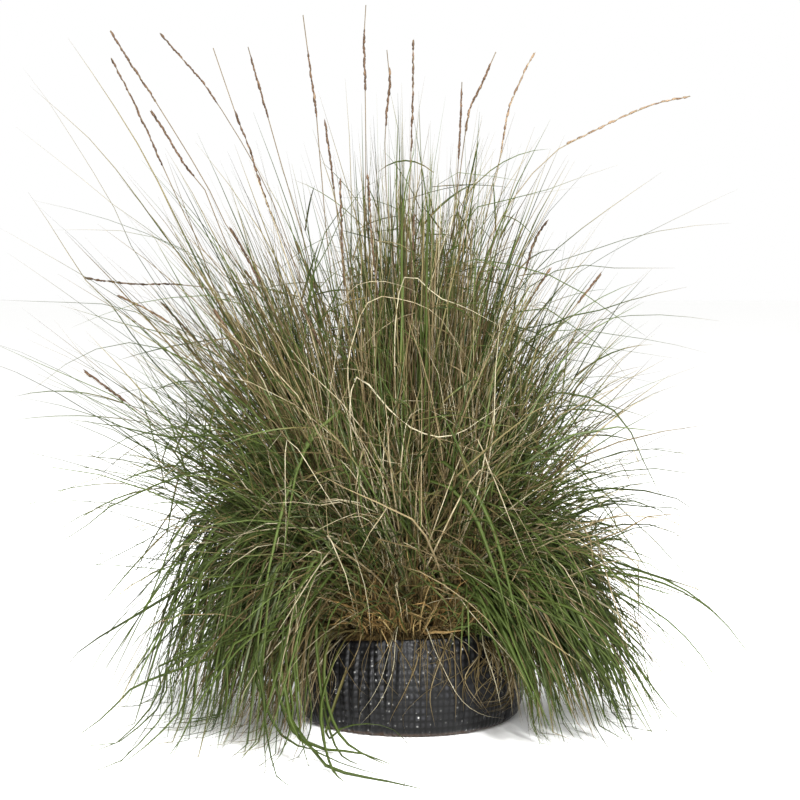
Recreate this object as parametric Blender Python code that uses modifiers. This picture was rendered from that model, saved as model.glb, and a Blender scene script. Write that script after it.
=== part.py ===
"""A clump of ornamental grass growing in a soft pot of woven tape.

Metres, +Z up. The origin is the centre of the pot's underside, the side with the trailing
leaves faces -Y, and the clump reaches farthest towards -X.
"""

import math
import random
from dataclasses import dataclass, replace

import bmesh
import bpy
from mathutils import Euler, Quaternion, Vector
from mathutils.geometry import interpolate_bezier

COLLECTION = "potted_grass_clump"
GUIDES = "guides"
GAP = 0.0003
WELD = 0.00001
SEED = 5

# Soft pot
POT_HEIGHT = 0.104
POT_RIM_RADIUS = 0.119
POT_BELLY_RADIUS = 0.124
POT_BELLY_HEIGHT = 0.055
POT_BASE_RADIUS = 0.110
POT_FLAT_RADIUS = 0.088
POT_CORNER = 0.012
POT_WALL = 0.002
POT_SIDES = 28
POT_RIPPLE = 0.0016
RIM_SAG = 0.010
RIM_SAG_AZIMUTH = math.radians(-140)
RIM_SAG_WIDTH = math.radians(34)
BASE_LIFT = 0.008

# Soil and the mat of leaf bases on it
SOIL_TOP = 0.084
SOIL_CLEARANCE = 0.0018
SOIL_FLOOR_GAP = 0.0008
SOIL_SIDES = 20
CROWN_RADIUS = 0.106
CROWN_HEIGHT = 0.062
CROWN_SIDES = 18
CROWN_STEPS = 4

# How far the leaves reach from the pot's axis on each side
REACH_LEFT = 0.440
REACH_RIGHT = 0.345
REACH_FRONT = 0.330
REACH_BACK = 0.330
PLANT_HEIGHT = 0.757

# Leaves
LEAF_KEEL = 0.30
LEAF_TIP = 0.05
SHEATH_RADIUS = 0.0055
SHEATH_TOP_RADIUS = 0.0042
SHEATH_LENGTH = 0.040
SHEATH_SIDES = 5
SHEATH_TURN = math.radians(11)
SHEATH_OVERLAP = 0.40
SHEATH_STAGGER = 0.12
SURFACE_CLEARANCE = 0.004
SIDE_SHORTER = 0.09
SIDE_HIGHER = 0.07
SIDE_RISE = 2
SIDE_TURN = 13
TRAILING_SPREAD = 5.0
TRAILING_WIDTH = 0.010
TRAILING_STEPS = 7
DRY_SPREAD = 8.0
DRY_WIDTH = 0.006
DRY_STEPS = 5

# Flowering stems
STEM_RADIUS = 0.0011
SPIKE_RADIUS = 0.0024
SPIKE_NECK_RADIUS = 0.0016
SPIKE_LENGTH = 0.085
STEM_ROOT_RADIUS = 0.034
STEM_STEPS = 6
SPIKE_STEPS = 5

# Colours, linear
GREEN = (0.045, 0.110, 0.030)
DEEP_GREEN = (0.028, 0.070, 0.022)
STRAW = (0.480, 0.340, 0.190)
SPIKE_BROWN = (0.190, 0.110, 0.060)
THATCH_BROWN = (0.210, 0.130, 0.060)
SOIL_BROWN = (0.030, 0.020, 0.014)
TAPE_BLACK = (0.014, 0.014, 0.016)


@dataclass(frozen=True)
class TuftRing:
    """A ring of like tufts round the crown. Angles are in degrees, lengths in metres."""

    name: str
    count: int
    open_front: float  # the arc about -Y that the ring leaves free
    turn: float  # the ring's turn about the axis
    root_radius: float
    rise: float  # the angle above level at which the leaves leave the crown
    reach: float  # share of the plant's reach on that side
    tip_height: float
    tip_slope: float
    spread: float  # the angle between neighbouring leaves of a tuft
    width: float
    bow: float  # how far the leaf keeps its first direction, as a share of its chord
    steps: int


@dataclass(frozen=True)
class Strand:
    """A tuft or stem placed on its own: where it is rooted and where it ends."""

    root_radius: float
    root_azimuth: float
    rise: float
    tip: tuple
    tip_slope: float
    tip_azimuth: float
    bow: float


RINGS = (
    TuftRing("upright_leaf_tuft", 4, 90, 10, 0.020, 85, 0.22, 0.560, 76, 7.0, 0.011, 0.35, 4),
    TuftRing("inner_leaf_tuft", 7, 51.4, 0, 0.046, 79, 0.50, 0.560, 48, 6.5, 0.014, 0.42, 4),
    TuftRing("fan_leaf_tuft", 9, 40, 0, 0.066, 62, 0.97, 0.500, 6, 6.0, 0.017, 0.45, 5),
    TuftRing("arching_leaf_tuft", 10, 36, 0, 0.082, 56, 0.99, 0.285, -38, 6.5, 0.019, 0.45, 6),
    TuftRing("skirt_leaf_tuft", 10, 104, -15, 0.096, 54, 0.78, 0.030, -72, 8.0, 0.019, 0.66, 6),
)

TRAILING = (
    Strand(0.100, -111, 34, (0.015, -0.354, SURFACE_CLEARANCE), 0, -48, 0.42),
    Strand(0.100, -122, 34, (-0.107, -0.360, SURFACE_CLEARANCE), 0, -82, 0.42),
    Strand(0.100, -133, 38, (-0.318, -0.268, SURFACE_CLEARANCE), 0, -148, 0.42),
)

DRY = (
    Strand(0.101, -101, 34, (-0.040, -0.158, 0.020), -86, -103, 0.42),
    Strand(0.101, -80, 38, (0.040, -0.172, 0.030), -84, -76, 0.46),
    Strand(0.101, -62, 36, (0.098, -0.150, 0.016), -86, -58, 0.44),
    Strand(0.101, 103, 36, (-0.039, 0.168, 0.030), -84, 103, 0.44),
)

STEMS = (
    Strand(STEM_ROOT_RADIUS, 178, 80, (-0.322, 0.000, 0.730), 50, 180, 0.42),
    Strand(STEM_ROOT_RADIUS, 160, 76, (-0.278, 0.070, 0.644), 48, 166, 0.42),
    Strand(STEM_ROOT_RADIUS, 148, 80, (-0.268, 0.110, 0.728), 52, 158, 0.42),
    Strand(STEM_ROOT_RADIUS, 216, 84, (-0.212, -0.100, 0.712), 62, 205, 0.40),
    Strand(STEM_ROOT_RADIUS, 112, 87, (-0.048, 0.060, PLANT_HEIGHT), 86, 129, 0.35),
    Strand(STEM_ROOT_RADIUS, -96, 88, (0.002, -0.060, 0.720), 86, -88, 0.35),
    Strand(STEM_ROOT_RADIUS, 44, 86, (0.091, 0.090, 0.707), 70, 45, 0.38),
    Strand(STEM_ROOT_RADIUS, -50, 84, (0.132, -0.120, 0.706), 66, -42, 0.38),
    Strand(STEM_ROOT_RADIUS, 8, 78, (0.298, 0.030, 0.661), 8, 6, 0.55),
)


def clear_scene():
    """Removes what the file held before."""
    for item in list(bpy.data.objects):
        bpy.data.objects.remove(item, do_unlink=True)


def new_collection(name):
    """Adds a collection to the scene."""
    collection = bpy.data.collections.new(name)
    bpy.context.scene.collection.children.link(collection)
    return collection


def material(name, colour, roughness):
    """A plain non-metallic finish."""
    mat = bpy.data.materials.new(name)
    mat.use_nodes = True
    shader = mat.node_tree.nodes["Principled BSDF"]
    shader.inputs["Base Color"].default_value = (*colour, 1.0)
    shader.inputs["Roughness"].default_value = roughness
    shader.inputs["Metallic"].default_value = 0.0
    return mat


def evaluated_mesh(item):
    """The object's mesh with its modifiers applied."""
    bpy.context.view_layer.update()
    graph = bpy.context.evaluated_depsgraph_get()
    return bpy.data.meshes.new_from_object(item.evaluated_get(graph))


def weld_caps(mesh):
    """Joins a swept tube's loose caps to its sides."""
    shape = bmesh.new()
    shape.from_mesh(mesh)
    bmesh.ops.remove_doubles(shape, verts=shape.verts, dist=WELD)
    shape.to_mesh(mesh)
    shape.free()


def add_object(name, data, collection, mat=None):
    """Puts new data in a collection as an object."""
    item = bpy.data.objects.new(name, data)
    collection.objects.link(item)
    if mat is not None:
        data.materials.clear()
        data.materials.append(mat)
    return item


def turned(name, profile, sides, collection):
    """A mesh turned about Z from (radius, height) points that run down its outer side."""
    mesh = bpy.data.meshes.new(name)
    points = [(radius, 0, height) for radius, height in profile]
    mesh.from_pydata(points, [(i, i + 1) for i in range(len(points) - 1)], [])
    item = add_object(name, mesh, collection)
    screw = item.modifiers.new("turn", "SCREW")
    screw.steps = sides
    screw.render_steps = sides
    screw.use_merge_vertices = True
    screw.merge_threshold = 0.0001
    solid = evaluated_mesh(item)
    bpy.data.objects.remove(item, do_unlink=True)
    solid.name = name
    return solid


def belly(height):
    """The pot's outer radius above its rounded bottom corner."""
    share = (height - POT_BELLY_HEIGHT) / (POT_HEIGHT - POT_BELLY_HEIGHT)
    if share > 0:
        return POT_BELLY_RADIUS - (POT_BELLY_RADIUS - POT_RIM_RADIUS) * share**2
    share = (POT_BELLY_HEIGHT - height) / (POT_BELLY_HEIGHT - POT_CORNER)
    return POT_BELLY_RADIUS - (POT_BELLY_RADIUS - POT_BASE_RADIUS) * share**2


def wall_profile(top, inset, floor):
    """Points from the top of a wall down to the axis, inset from the pot's outside."""
    rise = (top, 0.075, POT_BELLY_HEIGHT, 0.030)
    points = [(belly(height) - inset, height) for height in rise]
    for turn in (0, 45, 90):
        angle = math.radians(turn)
        radius = POT_BASE_RADIUS - POT_CORNER + (POT_CORNER - inset) * math.cos(angle)
        points.append((radius, POT_CORNER - (POT_CORNER - floor) * math.sin(angle)))
    points.append((POT_FLAT_RADIUS - inset, floor))
    points.append((0, floor))
    return points


def soften(mesh):
    """Gives a turned shape the soft pot's ripples, its sagging rim and its lifted right edge."""
    for vertex in mesh.vertices:
        x, y, z = vertex.co
        radius = math.hypot(x, y)
        azimuth = math.atan2(y, x)
        rise = min(z / POT_HEIGHT, 1.0)
        outer = min(radius / POT_BELLY_RADIUS, 1.0)
        wave = math.cos(5 * azimuth + 0.7) + 0.6 * math.cos(8 * azimuth + 2.1)
        grown = 1 + POT_RIPPLE * wave * math.sqrt(rise) * outer / POT_BELLY_RADIUS
        away = (azimuth - RIM_SAG_AZIMUTH + math.pi) % (2 * math.pi) - math.pi
        sag = RIM_SAG * math.exp(-((away / RIM_SAG_WIDTH) ** 2)) * rise**3 * outer**4
        edge = max(0.0, (radius - POT_FLAT_RADIUS) / (POT_BELLY_RADIUS - POT_FLAT_RADIUS))
        lift = BASE_LIFT * max(0.0, math.cos(azimuth)) ** 2 * edge**1.5 * (1 - rise) ** 2
        vertex.co = (x * grown, y * grown, z - sag + lift)


def build_pot(collection, mat):
    """The open woven pot, a thin wall all round and below."""
    mesh = turned("fabric_pot", wall_profile(POT_HEIGHT, 0, 0), POT_SIDES, collection)
    soften(mesh)
    pot = add_object("fabric_pot", mesh, collection, mat)
    wall = pot.modifiers.new("wall", "SOLIDIFY")
    wall.thickness = POT_WALL
    wall.offset = -1
    pot.data.shade_smooth()
    return pot


def build_soil(collection, mat):
    """The potting mix, clear of the wall all round."""
    inset = POT_WALL + SOIL_CLEARANCE
    profile = [(0, SOIL_TOP)] + wall_profile(SOIL_TOP, inset, POT_WALL + SOIL_FLOOR_GAP)
    mesh = turned("potting_mix", profile, SOIL_SIDES, collection)
    soften(mesh)
    for vertex in mesh.vertices:
        vertex.co.z = min(vertex.co.z, SOIL_TOP)
    return add_object("potting_mix", mesh, collection, mat)


def crown_point(radius):
    """The height of the crown's surface at a radius, and the slope of its normal there."""
    base = SOIL_TOP + GAP
    share = math.sqrt(1 - (radius / CROWN_RADIUS) ** 2)
    outward = radius / CROWN_RADIUS**2
    upward = share / CROWN_HEIGHT
    return base + CROWN_HEIGHT * share, math.atan2(upward, outward)


def build_crown(collection, mat):
    """The domed mat of leaf bases, flat where it lies on the soil."""
    profile = []
    for step in range(CROWN_STEPS + 1):
        angle = math.pi / 2 * step / CROWN_STEPS
        height = SOIL_TOP + GAP + CROWN_HEIGHT * math.cos(angle)
        profile.append((CROWN_RADIUS * math.sin(angle), height))
    profile.append((0, SOIL_TOP + GAP))
    mesh = turned("crown", profile, CROWN_SIDES, collection)
    return add_object("crown", mesh, collection, mat)


def pointing(azimuth, rise):
    """The unit vector at an azimuth and an angle above level, both in degrees."""
    around, up = math.radians(azimuth), math.radians(rise)
    level = math.cos(up)
    return Vector((level * math.cos(around), level * math.sin(around), math.sin(up)))


def root_of(radius, azimuth, rise, foot_radius):
    """Where a foot of that radius stands clear on the crown, facing its own direction."""
    height, normal_rise = crown_point(radius)
    normal = pointing(azimuth, math.degrees(normal_rise))
    heading = pointing(azimuth, rise)
    tilt = math.sqrt(max(0.0, 1 - normal.dot(heading) ** 2))
    point = pointing(azimuth, 0) * radius
    point.z = height
    return point + normal * (GAP + foot_radius * tilt), heading


def reach_towards(azimuth):
    """How far the plant reaches at an azimuth, from its reach on four sides."""
    across, deep = math.cos(math.radians(azimuth)), math.sin(math.radians(azimuth))
    wide = REACH_RIGHT if across > 0 else REACH_LEFT
    long = REACH_BACK if deep > 0 else REACH_FRONT
    return 1 / math.hypot(across / wide, deep / long)


def leaf_path(root, heading, tip, ending, bow, steps):
    """Points along a leaf that leaves its root and meets its tip in given directions."""
    span = (tip - root).length * bow
    return interpolate_bezier(root, root + heading * span, tip - ending * span, tip, steps + 1)


def leaf_profile(collection):
    """The cross-section of a leaf one metre wide: flat above, with a keel below."""
    data = bpy.data.curves.new("leaf_section", "CURVE")
    spline = data.splines.new("POLY")
    corners = ((0.5, 0), (0, -LEAF_KEEL), (-0.5, 0))
    spline.points.add(len(corners) - 1)
    for point, (across, up) in zip(spline.points, corners):
        point.co = (across, up, 0, 1)
    spline.use_cyclic_u = True
    section = add_object("leaf_section", data, collection)
    section.hide_render = True
    section.display_type = "WIRE"
    return section


def swept(name, points, radii, collection, section=None):
    """A closed tube along points, round or with a section, as wide at each as its radius."""
    data = bpy.data.curves.new(name, "CURVE")
    data.dimensions = "3D"
    data.use_fill_caps = True
    if section is None:
        data.bevel_depth = 1.0
        data.bevel_resolution = 0
    else:
        data.bevel_mode = "OBJECT"
        data.bevel_object = section
        data.twist_mode = "Z_UP"
    spline = data.splines.new("POLY")
    spline.points.add(len(points) - 1)
    for target, point, radius in zip(spline.points, points, radii):
        target.co = (*point, 1)
        target.radius = radius
    item = add_object(name, data, collection)
    mesh = evaluated_mesh(item)
    weld_caps(mesh)
    bpy.data.objects.remove(item, do_unlink=True)
    return mesh


def sheath_mesh(root, heading):
    """The short tapered sheath that a tuft's leaves leave from."""
    shape = bmesh.new()
    bmesh.ops.create_cone(
        shape,
        cap_ends=True,
        segments=SHEATH_SIDES,
        radius1=SHEATH_RADIUS,
        radius2=SHEATH_TOP_RADIUS,
        depth=SHEATH_LENGTH,
    )
    turn = Vector((0, 0, 1)).rotation_difference(heading)
    turn = turn @ Quaternion((0, 0, 1), SHEATH_TURN)
    bmesh.ops.transform(shape, matrix=turn.to_matrix().to_4x4(), verts=shape.verts)
    bmesh.ops.translate(shape, vec=root + heading * SHEATH_LENGTH / 2, verts=shape.verts)
    mesh = bpy.data.meshes.new("sheath")
    shape.to_mesh(mesh)
    shape.free()
    return mesh


def joined(name, meshes, collection):
    """One closed mesh from several that overlap."""
    items = [add_object(f"{name}_{i}", mesh, collection) for i, mesh in enumerate(meshes)]
    whole = items[0]
    for other in items[1:]:
        union = whole.modifiers.new("union", "BOOLEAN")
        union.operation = "UNION"
        union.solver = "MANIFOLD"
        union.object = other
    mesh = evaluated_mesh(whole)
    for item in items:
        bpy.data.objects.remove(item, do_unlink=True)
    mesh.name = name
    return mesh


def leaf_widths(width, steps):
    """A leaf's width at each point: full near its middle and drawn out to a point."""
    shares = [step / steps for step in range(steps + 1)]
    return [width * max(LEAF_TIP, min(0.3 + 2 * s, 1) * (1 - s**2.4)) for s in shares]


def build_tuft(name, strands, width, steps, guides, section, collection, mat):
    """A tuft: a sheath on the crown and the leaves that grow out of it, in one piece."""
    middle = strands[len(strands) // 2]
    root, heading = root_of(
        middle.root_radius, middle.root_azimuth, middle.rise, SHEATH_RADIUS
    )
    meshes = [sheath_mesh(root, heading)]
    for index, strand in enumerate(strands):
        start = root + heading * SHEATH_LENGTH * (SHEATH_OVERLAP + SHEATH_STAGGER * index)
        leaving = pointing(strand.root_azimuth, strand.rise)
        ending = pointing(strand.tip_azimuth, strand.tip_slope)
        points = leaf_path(start, leaving, Vector(strand.tip), ending, strand.bow, steps)
        meshes.append(swept(name, points, leaf_widths(width, steps), guides, section))
    tuft = add_object(name, joined(name, meshes, guides), collection, mat)
    tuft.data.shade_smooth()
    tuft.data.set_sharp_from_angle(angle=math.radians(40))
    return tuft


def fanned(strand, spread):
    """Three leaves from one: itself, with a shorter one on each side."""
    leaves = []
    for place in (-1, 0, 1):
        tip = Vector(strand.tip)
        tip.rotate(Euler((0, 0, math.radians(place * spread))))
        tip.xy *= 1 - SIDE_SHORTER * abs(place)
        tip.z = max(tip.z * (1 + SIDE_HIGHER * place), SURFACE_CLEARANCE)
        leaves.append(
            replace(
                strand,
                root_azimuth=strand.root_azimuth + place * SIDE_TURN,
                rise=strand.rise + place * SIDE_RISE,
                tip=tuple(tip),
                tip_azimuth=strand.tip_azimuth + place * spread,
            )
        )
    return leaves


def ring_strands(ring, rng):
    """The middle leaf of each tuft in a ring."""
    arc = 360 - ring.open_front
    strands = []
    for index in range(ring.count):
        azimuth = -90 + ring.open_front / 2 + arc * index / (ring.count - 1) + ring.turn
        tip = pointing(azimuth, 0) * ring.reach * reach_towards(azimuth)
        tip *= rng.uniform(0.96, 1.0)
        tip.z = ring.tip_height * rng.uniform(0.94, 1.06)
        strands.append(
            Strand(
                root_radius=ring.root_radius,
                root_azimuth=azimuth,
                rise=ring.rise,
                tip=tuple(tip),
                tip_slope=ring.tip_slope,
                tip_azimuth=azimuth,
                bow=ring.bow,
            )
        )
    return strands


def build_stem(name, strand, guides, collection, mat):
    """A flowering stem that swells into its jointed spike, grown in one piece."""
    root, heading = root_of(strand.root_radius, strand.root_azimuth, strand.rise, STEM_RADIUS)
    ending = pointing(strand.tip_azimuth, strand.tip_slope)
    tip = Vector(strand.tip)
    neck = tip - ending * SPIKE_LENGTH
    points = leaf_path(root, heading, neck, ending, strand.bow, STEM_STEPS)
    radii = [STEM_RADIUS] * len(points)
    for step in range(1, SPIKE_STEPS + 1):
        share = step / SPIKE_STEPS
        points.append(neck + ending * SPIKE_LENGTH * share)
        radii.append(SPIKE_RADIUS if step % 2 else SPIKE_NECK_RADIUS)
    radii[-1] = STEM_RADIUS * LEAF_TIP
    mesh = swept(name, points, radii, guides)
    return add_object(name, mesh, collection, mat)


def main():
    """Builds the pot, the soil, the crown and everything that grows from it."""
    clear_scene()
    rng = random.Random(SEED)
    collection = new_collection(COLLECTION)
    guides = new_collection(GUIDES)
    green = material("green_leaf", GREEN, 0.5)
    deep_green = material("deep_green_leaf", DEEP_GREEN, 0.5)
    straw = material("dry_leaf", STRAW, 0.8)
    spike = material("flower_spike", SPIKE_BROWN, 0.85)
    build_pot(collection, material("woven_tape", TAPE_BLACK, 0.45))
    build_soil(collection, material("potting_mix", SOIL_BROWN, 0.95))
    build_crown(collection, material("leaf_bases", THATCH_BROWN, 0.9))
    section = leaf_profile(guides)
    for ring in RINGS:
        for index, strand in enumerate(ring_strands(ring, rng), 1):
            mat = deep_green if index % 3 == 0 else green
            name = f"{ring.name}_{index:02d}"
            leaves = fanned(strand, ring.spread)
            build_tuft(name, leaves, ring.width, ring.steps, guides, section, collection, mat)
    for index, strand in enumerate(TRAILING, 1):
        name = f"trailing_leaf_tuft_{index:02d}"
        leaves = fanned(strand, TRAILING_SPREAD)
        build_tuft(name, leaves, TRAILING_WIDTH, TRAILING_STEPS, guides, section, collection, green)
    for index, strand in enumerate(DRY, 1):
        name = f"dry_leaf_tuft_{index:02d}"
        leaves = fanned(strand, DRY_SPREAD)
        build_tuft(name, leaves, DRY_WIDTH, DRY_STEPS, guides, section, collection, straw)
    for index, strand in enumerate(STEMS, 1):
        build_stem(f"flower_stem_{index:02d}", strand, guides, collection, spike)
    bpy.data.objects.remove(section, do_unlink=True)


main()
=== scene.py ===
"""The looks of a clump of ornamental grass growing in a soft pot of woven tape.

Metres, +Z up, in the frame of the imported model: the origin is the centre of the pot's underside
and the camera looks along +Y. Angles round the clump are azimuths from +X, so -90 degrees faces
the camera. A blade's lean is its angle from the vertical.
"""

import logging
import math
from dataclasses import dataclass, field
from enum import Enum

import bpy
import numpy as np
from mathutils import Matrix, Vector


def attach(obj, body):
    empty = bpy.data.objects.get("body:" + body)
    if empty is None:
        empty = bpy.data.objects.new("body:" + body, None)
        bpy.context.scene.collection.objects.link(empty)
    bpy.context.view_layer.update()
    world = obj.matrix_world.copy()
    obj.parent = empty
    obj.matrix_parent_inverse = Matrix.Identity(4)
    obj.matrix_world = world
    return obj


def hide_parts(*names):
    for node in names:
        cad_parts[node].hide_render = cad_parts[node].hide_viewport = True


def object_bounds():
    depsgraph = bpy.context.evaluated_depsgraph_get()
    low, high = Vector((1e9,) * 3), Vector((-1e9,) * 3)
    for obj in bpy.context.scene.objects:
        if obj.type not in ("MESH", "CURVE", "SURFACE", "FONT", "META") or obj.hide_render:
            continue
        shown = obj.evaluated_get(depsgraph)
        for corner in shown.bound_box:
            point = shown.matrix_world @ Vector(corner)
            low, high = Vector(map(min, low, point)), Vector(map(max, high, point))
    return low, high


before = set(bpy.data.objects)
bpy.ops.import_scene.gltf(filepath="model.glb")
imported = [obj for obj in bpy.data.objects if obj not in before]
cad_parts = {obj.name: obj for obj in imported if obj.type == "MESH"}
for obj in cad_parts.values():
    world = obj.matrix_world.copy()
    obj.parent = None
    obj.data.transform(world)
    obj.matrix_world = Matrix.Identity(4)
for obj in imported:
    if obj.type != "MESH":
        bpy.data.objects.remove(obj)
CAD_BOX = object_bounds()

LOG = logging.getLogger("potted_grass")
BODY = "root"
PIXELS = 800
REACH = 0.022  # how far leaves may reach past the solid model's box
LANDING = 0.035  # the height below which a hanging leaf starts to turn along the floor
HEM = (0.09, 1.1)  # the height of the hanging leaves' hem at the pot, and its fall outwards


# Shading helpers


def linear(hex_colour: str) -> tuple[float, float, float, float]:
    """Turns an sRGB hex colour into linear RGBA.

    Args:
        hex_colour: the colour as "#rrggbb".

    Returns:
        The linear red, green and blue, with an alpha of one.
    """
    shares = [int(hex_colour[i : i + 2], 16) / 255 for i in (1, 3, 5)]
    curve = [c / 12.92 if c <= 0.04045 else ((c + 0.055) / 1.055) ** 2.4 for c in shares]
    return (*curve, 1.0)


def add_node(
    tree: bpy.types.NodeTree,
    kind: str,
    settings: dict | None = None,
    sockets: dict | None = None,
    stops: tuple = (),
) -> bpy.types.Node:
    """Adds a shader node with its settings, its input values and its links.

    Args:
        tree: the material's node tree.
        kind: the node's type without its "ShaderNode" prefix.
        settings: the node's own properties.
        sockets: a value, or an output socket to link, for each input by name or index.
        stops: a colour ramp's stops, as (place, "#rrggbb").

    Returns:
        The new node.
    """
    made = tree.nodes.new("ShaderNode" + kind)
    for name, value in (settings or {}).items():
        setattr(made, name, value)
    for index, (place, colour) in enumerate(stops):
        ramp = made.color_ramp.elements
        stop = ramp[index] if index < 2 else ramp.new(place)
        stop.position = place
        stop.color = linear(colour)
    for key, value in (sockets or {}).items():
        if isinstance(value, bpy.types.NodeSocket):
            tree.links.new(value, made.inputs[key])
        else:
            made.inputs[key].default_value = value
    return made


def new_material(name: str) -> tuple[bpy.types.Material, bpy.types.NodeTree]:
    """Makes an empty node material.

    Args:
        name: what the material is made of, and how.

    Returns:
        The material and its node tree.
    """
    made = bpy.data.materials.new(name)
    made.use_nodes = True
    made.node_tree.nodes.clear()
    return made, made.node_tree


class Trait(Enum):
    """The values that each point of a blade carries for its finish."""

    ALONG = "along"  # 0 at the root, 1 at the tip
    ACROSS = "across"  # -1 and 1 at the edges, 0 at the midrib
    TONE = "tone"  # the blade's own place in its finish's range of colours
    DRY = "dry"  # the share of the blade, from its tip, that has dried


def trait(tree: bpy.types.NodeTree, which: Trait) -> bpy.types.NodeSocket:
    """Gives the output that reads one trait of the blade."""
    return add_node(tree, "Attribute", {"attribute_name": which.value}).outputs["Fac"]


# Finishes


@dataclass(frozen=True)
class GrassBlade:
    """Living grass blade, grown: waxy above, with veins, and a little light comes through it.

    It gives the eye mixed greens, a paler midrib, straw-coloured dried tips and pale bases.
    """

    name: str = "grass_blade_living"
    deep: str = "#262e11"
    dark: str = "#354118"
    middle: str = "#475522"
    light: str = "#5b6a35"
    glaucous: str = "#707a5a"
    straw: str = "#857a54"
    sheath: str = "#6a5c3a"
    roughness: float = 0.55
    blotch_mm: float = 14.0
    veins: float = 9.0  # real blades have 15 to 30; fewer are drawn, so that they show

    def build(self) -> bpy.types.Material:
        """Builds the node material."""
        made, tree = new_material(self.name)
        place = add_node(tree, "TexCoord").outputs["Object"]
        blotch = add_node(
            tree, "TexNoise", {}, {"Vector": place, "Scale": 1000 / self.blotch_mm, "Detail": 3.0}
        )
        along = trait(tree, Trait.ALONG)
        across = trait(tree, Trait.ACROSS)
        shade = add_node(
            tree,
            "Math",
            {"operation": "MULTIPLY_ADD"},
            {0: blotch.outputs["Fac"], 1: 0.36, 2: trait(tree, Trait.TONE)},
        )
        shade = add_node(
            tree, "Math", {"operation": "SUBTRACT"}, {0: shade.outputs[0], 1: 0.18}
        )
        green = add_node(
            tree,
            "ValToRGB",
            {},
            {0: shade.outputs[0]},
            (
                (0.0, self.deep),
                (1.0, self.glaucous),
                (0.28, self.dark),
                (0.58, self.middle),
                (0.84, self.light),
            ),
        )
        edge = add_node(tree, "Math", {"operation": "ABSOLUTE"}, {0: across})
        rib = add_node(
            tree,
            "MapRange",
            {"interpolation_type": "SMOOTHSTEP"},
            {0: edge.outputs[0], 1: 0.04, 2: 0.24, 3: 0.30, 4: 0.0},
        )
        ribbed = add_node(
            tree,
            "Mix",
            {"data_type": "RGBA"},
            {0: rib.outputs[0], 6: green.outputs[0], 7: linear(self.glaucous)},
        )
        green_until = add_node(
            tree, "Math", {"operation": "SUBTRACT"}, {0: 1.0, 1: trait(tree, Trait.DRY)}
        )
        past = add_node(
            tree, "Math", {"operation": "SUBTRACT"}, {0: along, 1: green_until.outputs[0]}
        )
        dried = add_node(
            tree,
            "MapRange",
            {"interpolation_type": "SMOOTHSTEP"},
            {0: past.outputs[0], 1: -0.02, 2: 0.14, 3: 0.0, 4: 1.0},
        )
        tipped = add_node(
            tree,
            "Mix",
            {"data_type": "RGBA"},
            {0: dried.outputs[0], 6: ribbed.outputs[2], 7: linear(self.straw)},
        )
        based = add_node(
            tree,
            "MapRange",
            {"interpolation_type": "SMOOTHSTEP"},
            {0: along, 1: 0.08, 2: 0.46, 3: 0.9, 4: 0.0},
        )
        colour = add_node(
            tree,
            "Mix",
            {"data_type": "RGBA"},
            {0: based.outputs[0], 6: tipped.outputs[2], 7: linear(self.sheath)},
        ).outputs[2]
        waves = add_node(
            tree, "Math", {"operation": "MULTIPLY"}, {0: across, 1: self.veins * math.pi}
        )
        vein = add_node(tree, "Math", {"operation": "SINE"}, {0: waves.outputs[0]})
        relief = add_node(
            tree, "Bump", {}, {"Strength": 0.25, "Distance": 0.0002, "Height": vein.outputs[0]}
        )
        leaf = add_node(
            tree,
            "BsdfPrincipled",
            {},
            {
                "Base Color": colour,
                "Roughness": self.roughness,
                "IOR": 1.24,
                "Normal": relief.outputs[0],
            },
        )
        glow = add_node(tree, "BsdfTranslucent", {}, {"Color": colour})
        mixed = add_node(
            tree, "MixShader", {}, {0: 0.3, 1: leaf.outputs[0], 2: glow.outputs[0]}
        )
        add_node(tree, "OutputMaterial", {}, {0: mixed.outputs[0]})
        return made


@dataclass(frozen=True)
class DeadBlade:
    """Dead grass blade, dried on the plant: papery, bleached cream to tan and weathered brown.

    It gives the eye pale, dull strands that break up the greens.
    """

    name: str = "grass_blade_dried"
    cream: str = "#bab296"
    tan: str = "#8f8060"
    brown: str = "#584c30"
    dark: str = "#3d331c"
    rosy: str = "#6f6042"
    roughness: float = 0.72
    blotch_mm: float = 9.0
    glow: float = 0.25

    def build(self) -> bpy.types.Material:
        """Builds the node material."""
        made, tree = new_material(self.name)
        place = add_node(tree, "TexCoord").outputs["Object"]
        blotch = add_node(
            tree, "TexNoise", {}, {"Vector": place, "Scale": 1000 / self.blotch_mm, "Detail": 4.0}
        )
        shade = add_node(
            tree,
            "Math",
            {"operation": "MULTIPLY_ADD"},
            {0: blotch.outputs["Fac"], 1: 0.44, 2: trait(tree, Trait.TONE)},
        )
        shade = add_node(
            tree, "Math", {"operation": "SUBTRACT"}, {0: shade.outputs[0], 1: 0.22}
        )
        colour = add_node(
            tree,
            "ValToRGB",
            {},
            {0: shade.outputs[0]},
            (
                (0.0, self.dark),
                (1.0, self.cream),
                (0.32, self.brown),
                (0.58, self.rosy),
                (0.80, self.tan),
            ),
        ).outputs[0]
        fibre = add_node(
            tree,
            "Bump",
            {},
            {"Strength": 0.4, "Distance": 0.0003, "Height": blotch.outputs["Fac"]},
        )
        leaf = add_node(
            tree,
            "BsdfPrincipled",
            {},
            {
                "Base Color": colour,
                "Roughness": self.roughness,
                "IOR": 1.22,
                "Normal": fibre.outputs[0],
            },
        )
        glow = add_node(tree, "BsdfTranslucent", {}, {"Color": colour})
        mixed = add_node(
            tree, "MixShader", {}, {0: self.glow, 1: leaf.outputs[0], 2: glow.outputs[0]}
        )
        add_node(tree, "OutputMaterial", {}, {0: mixed.outputs[0]})
        return made


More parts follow.
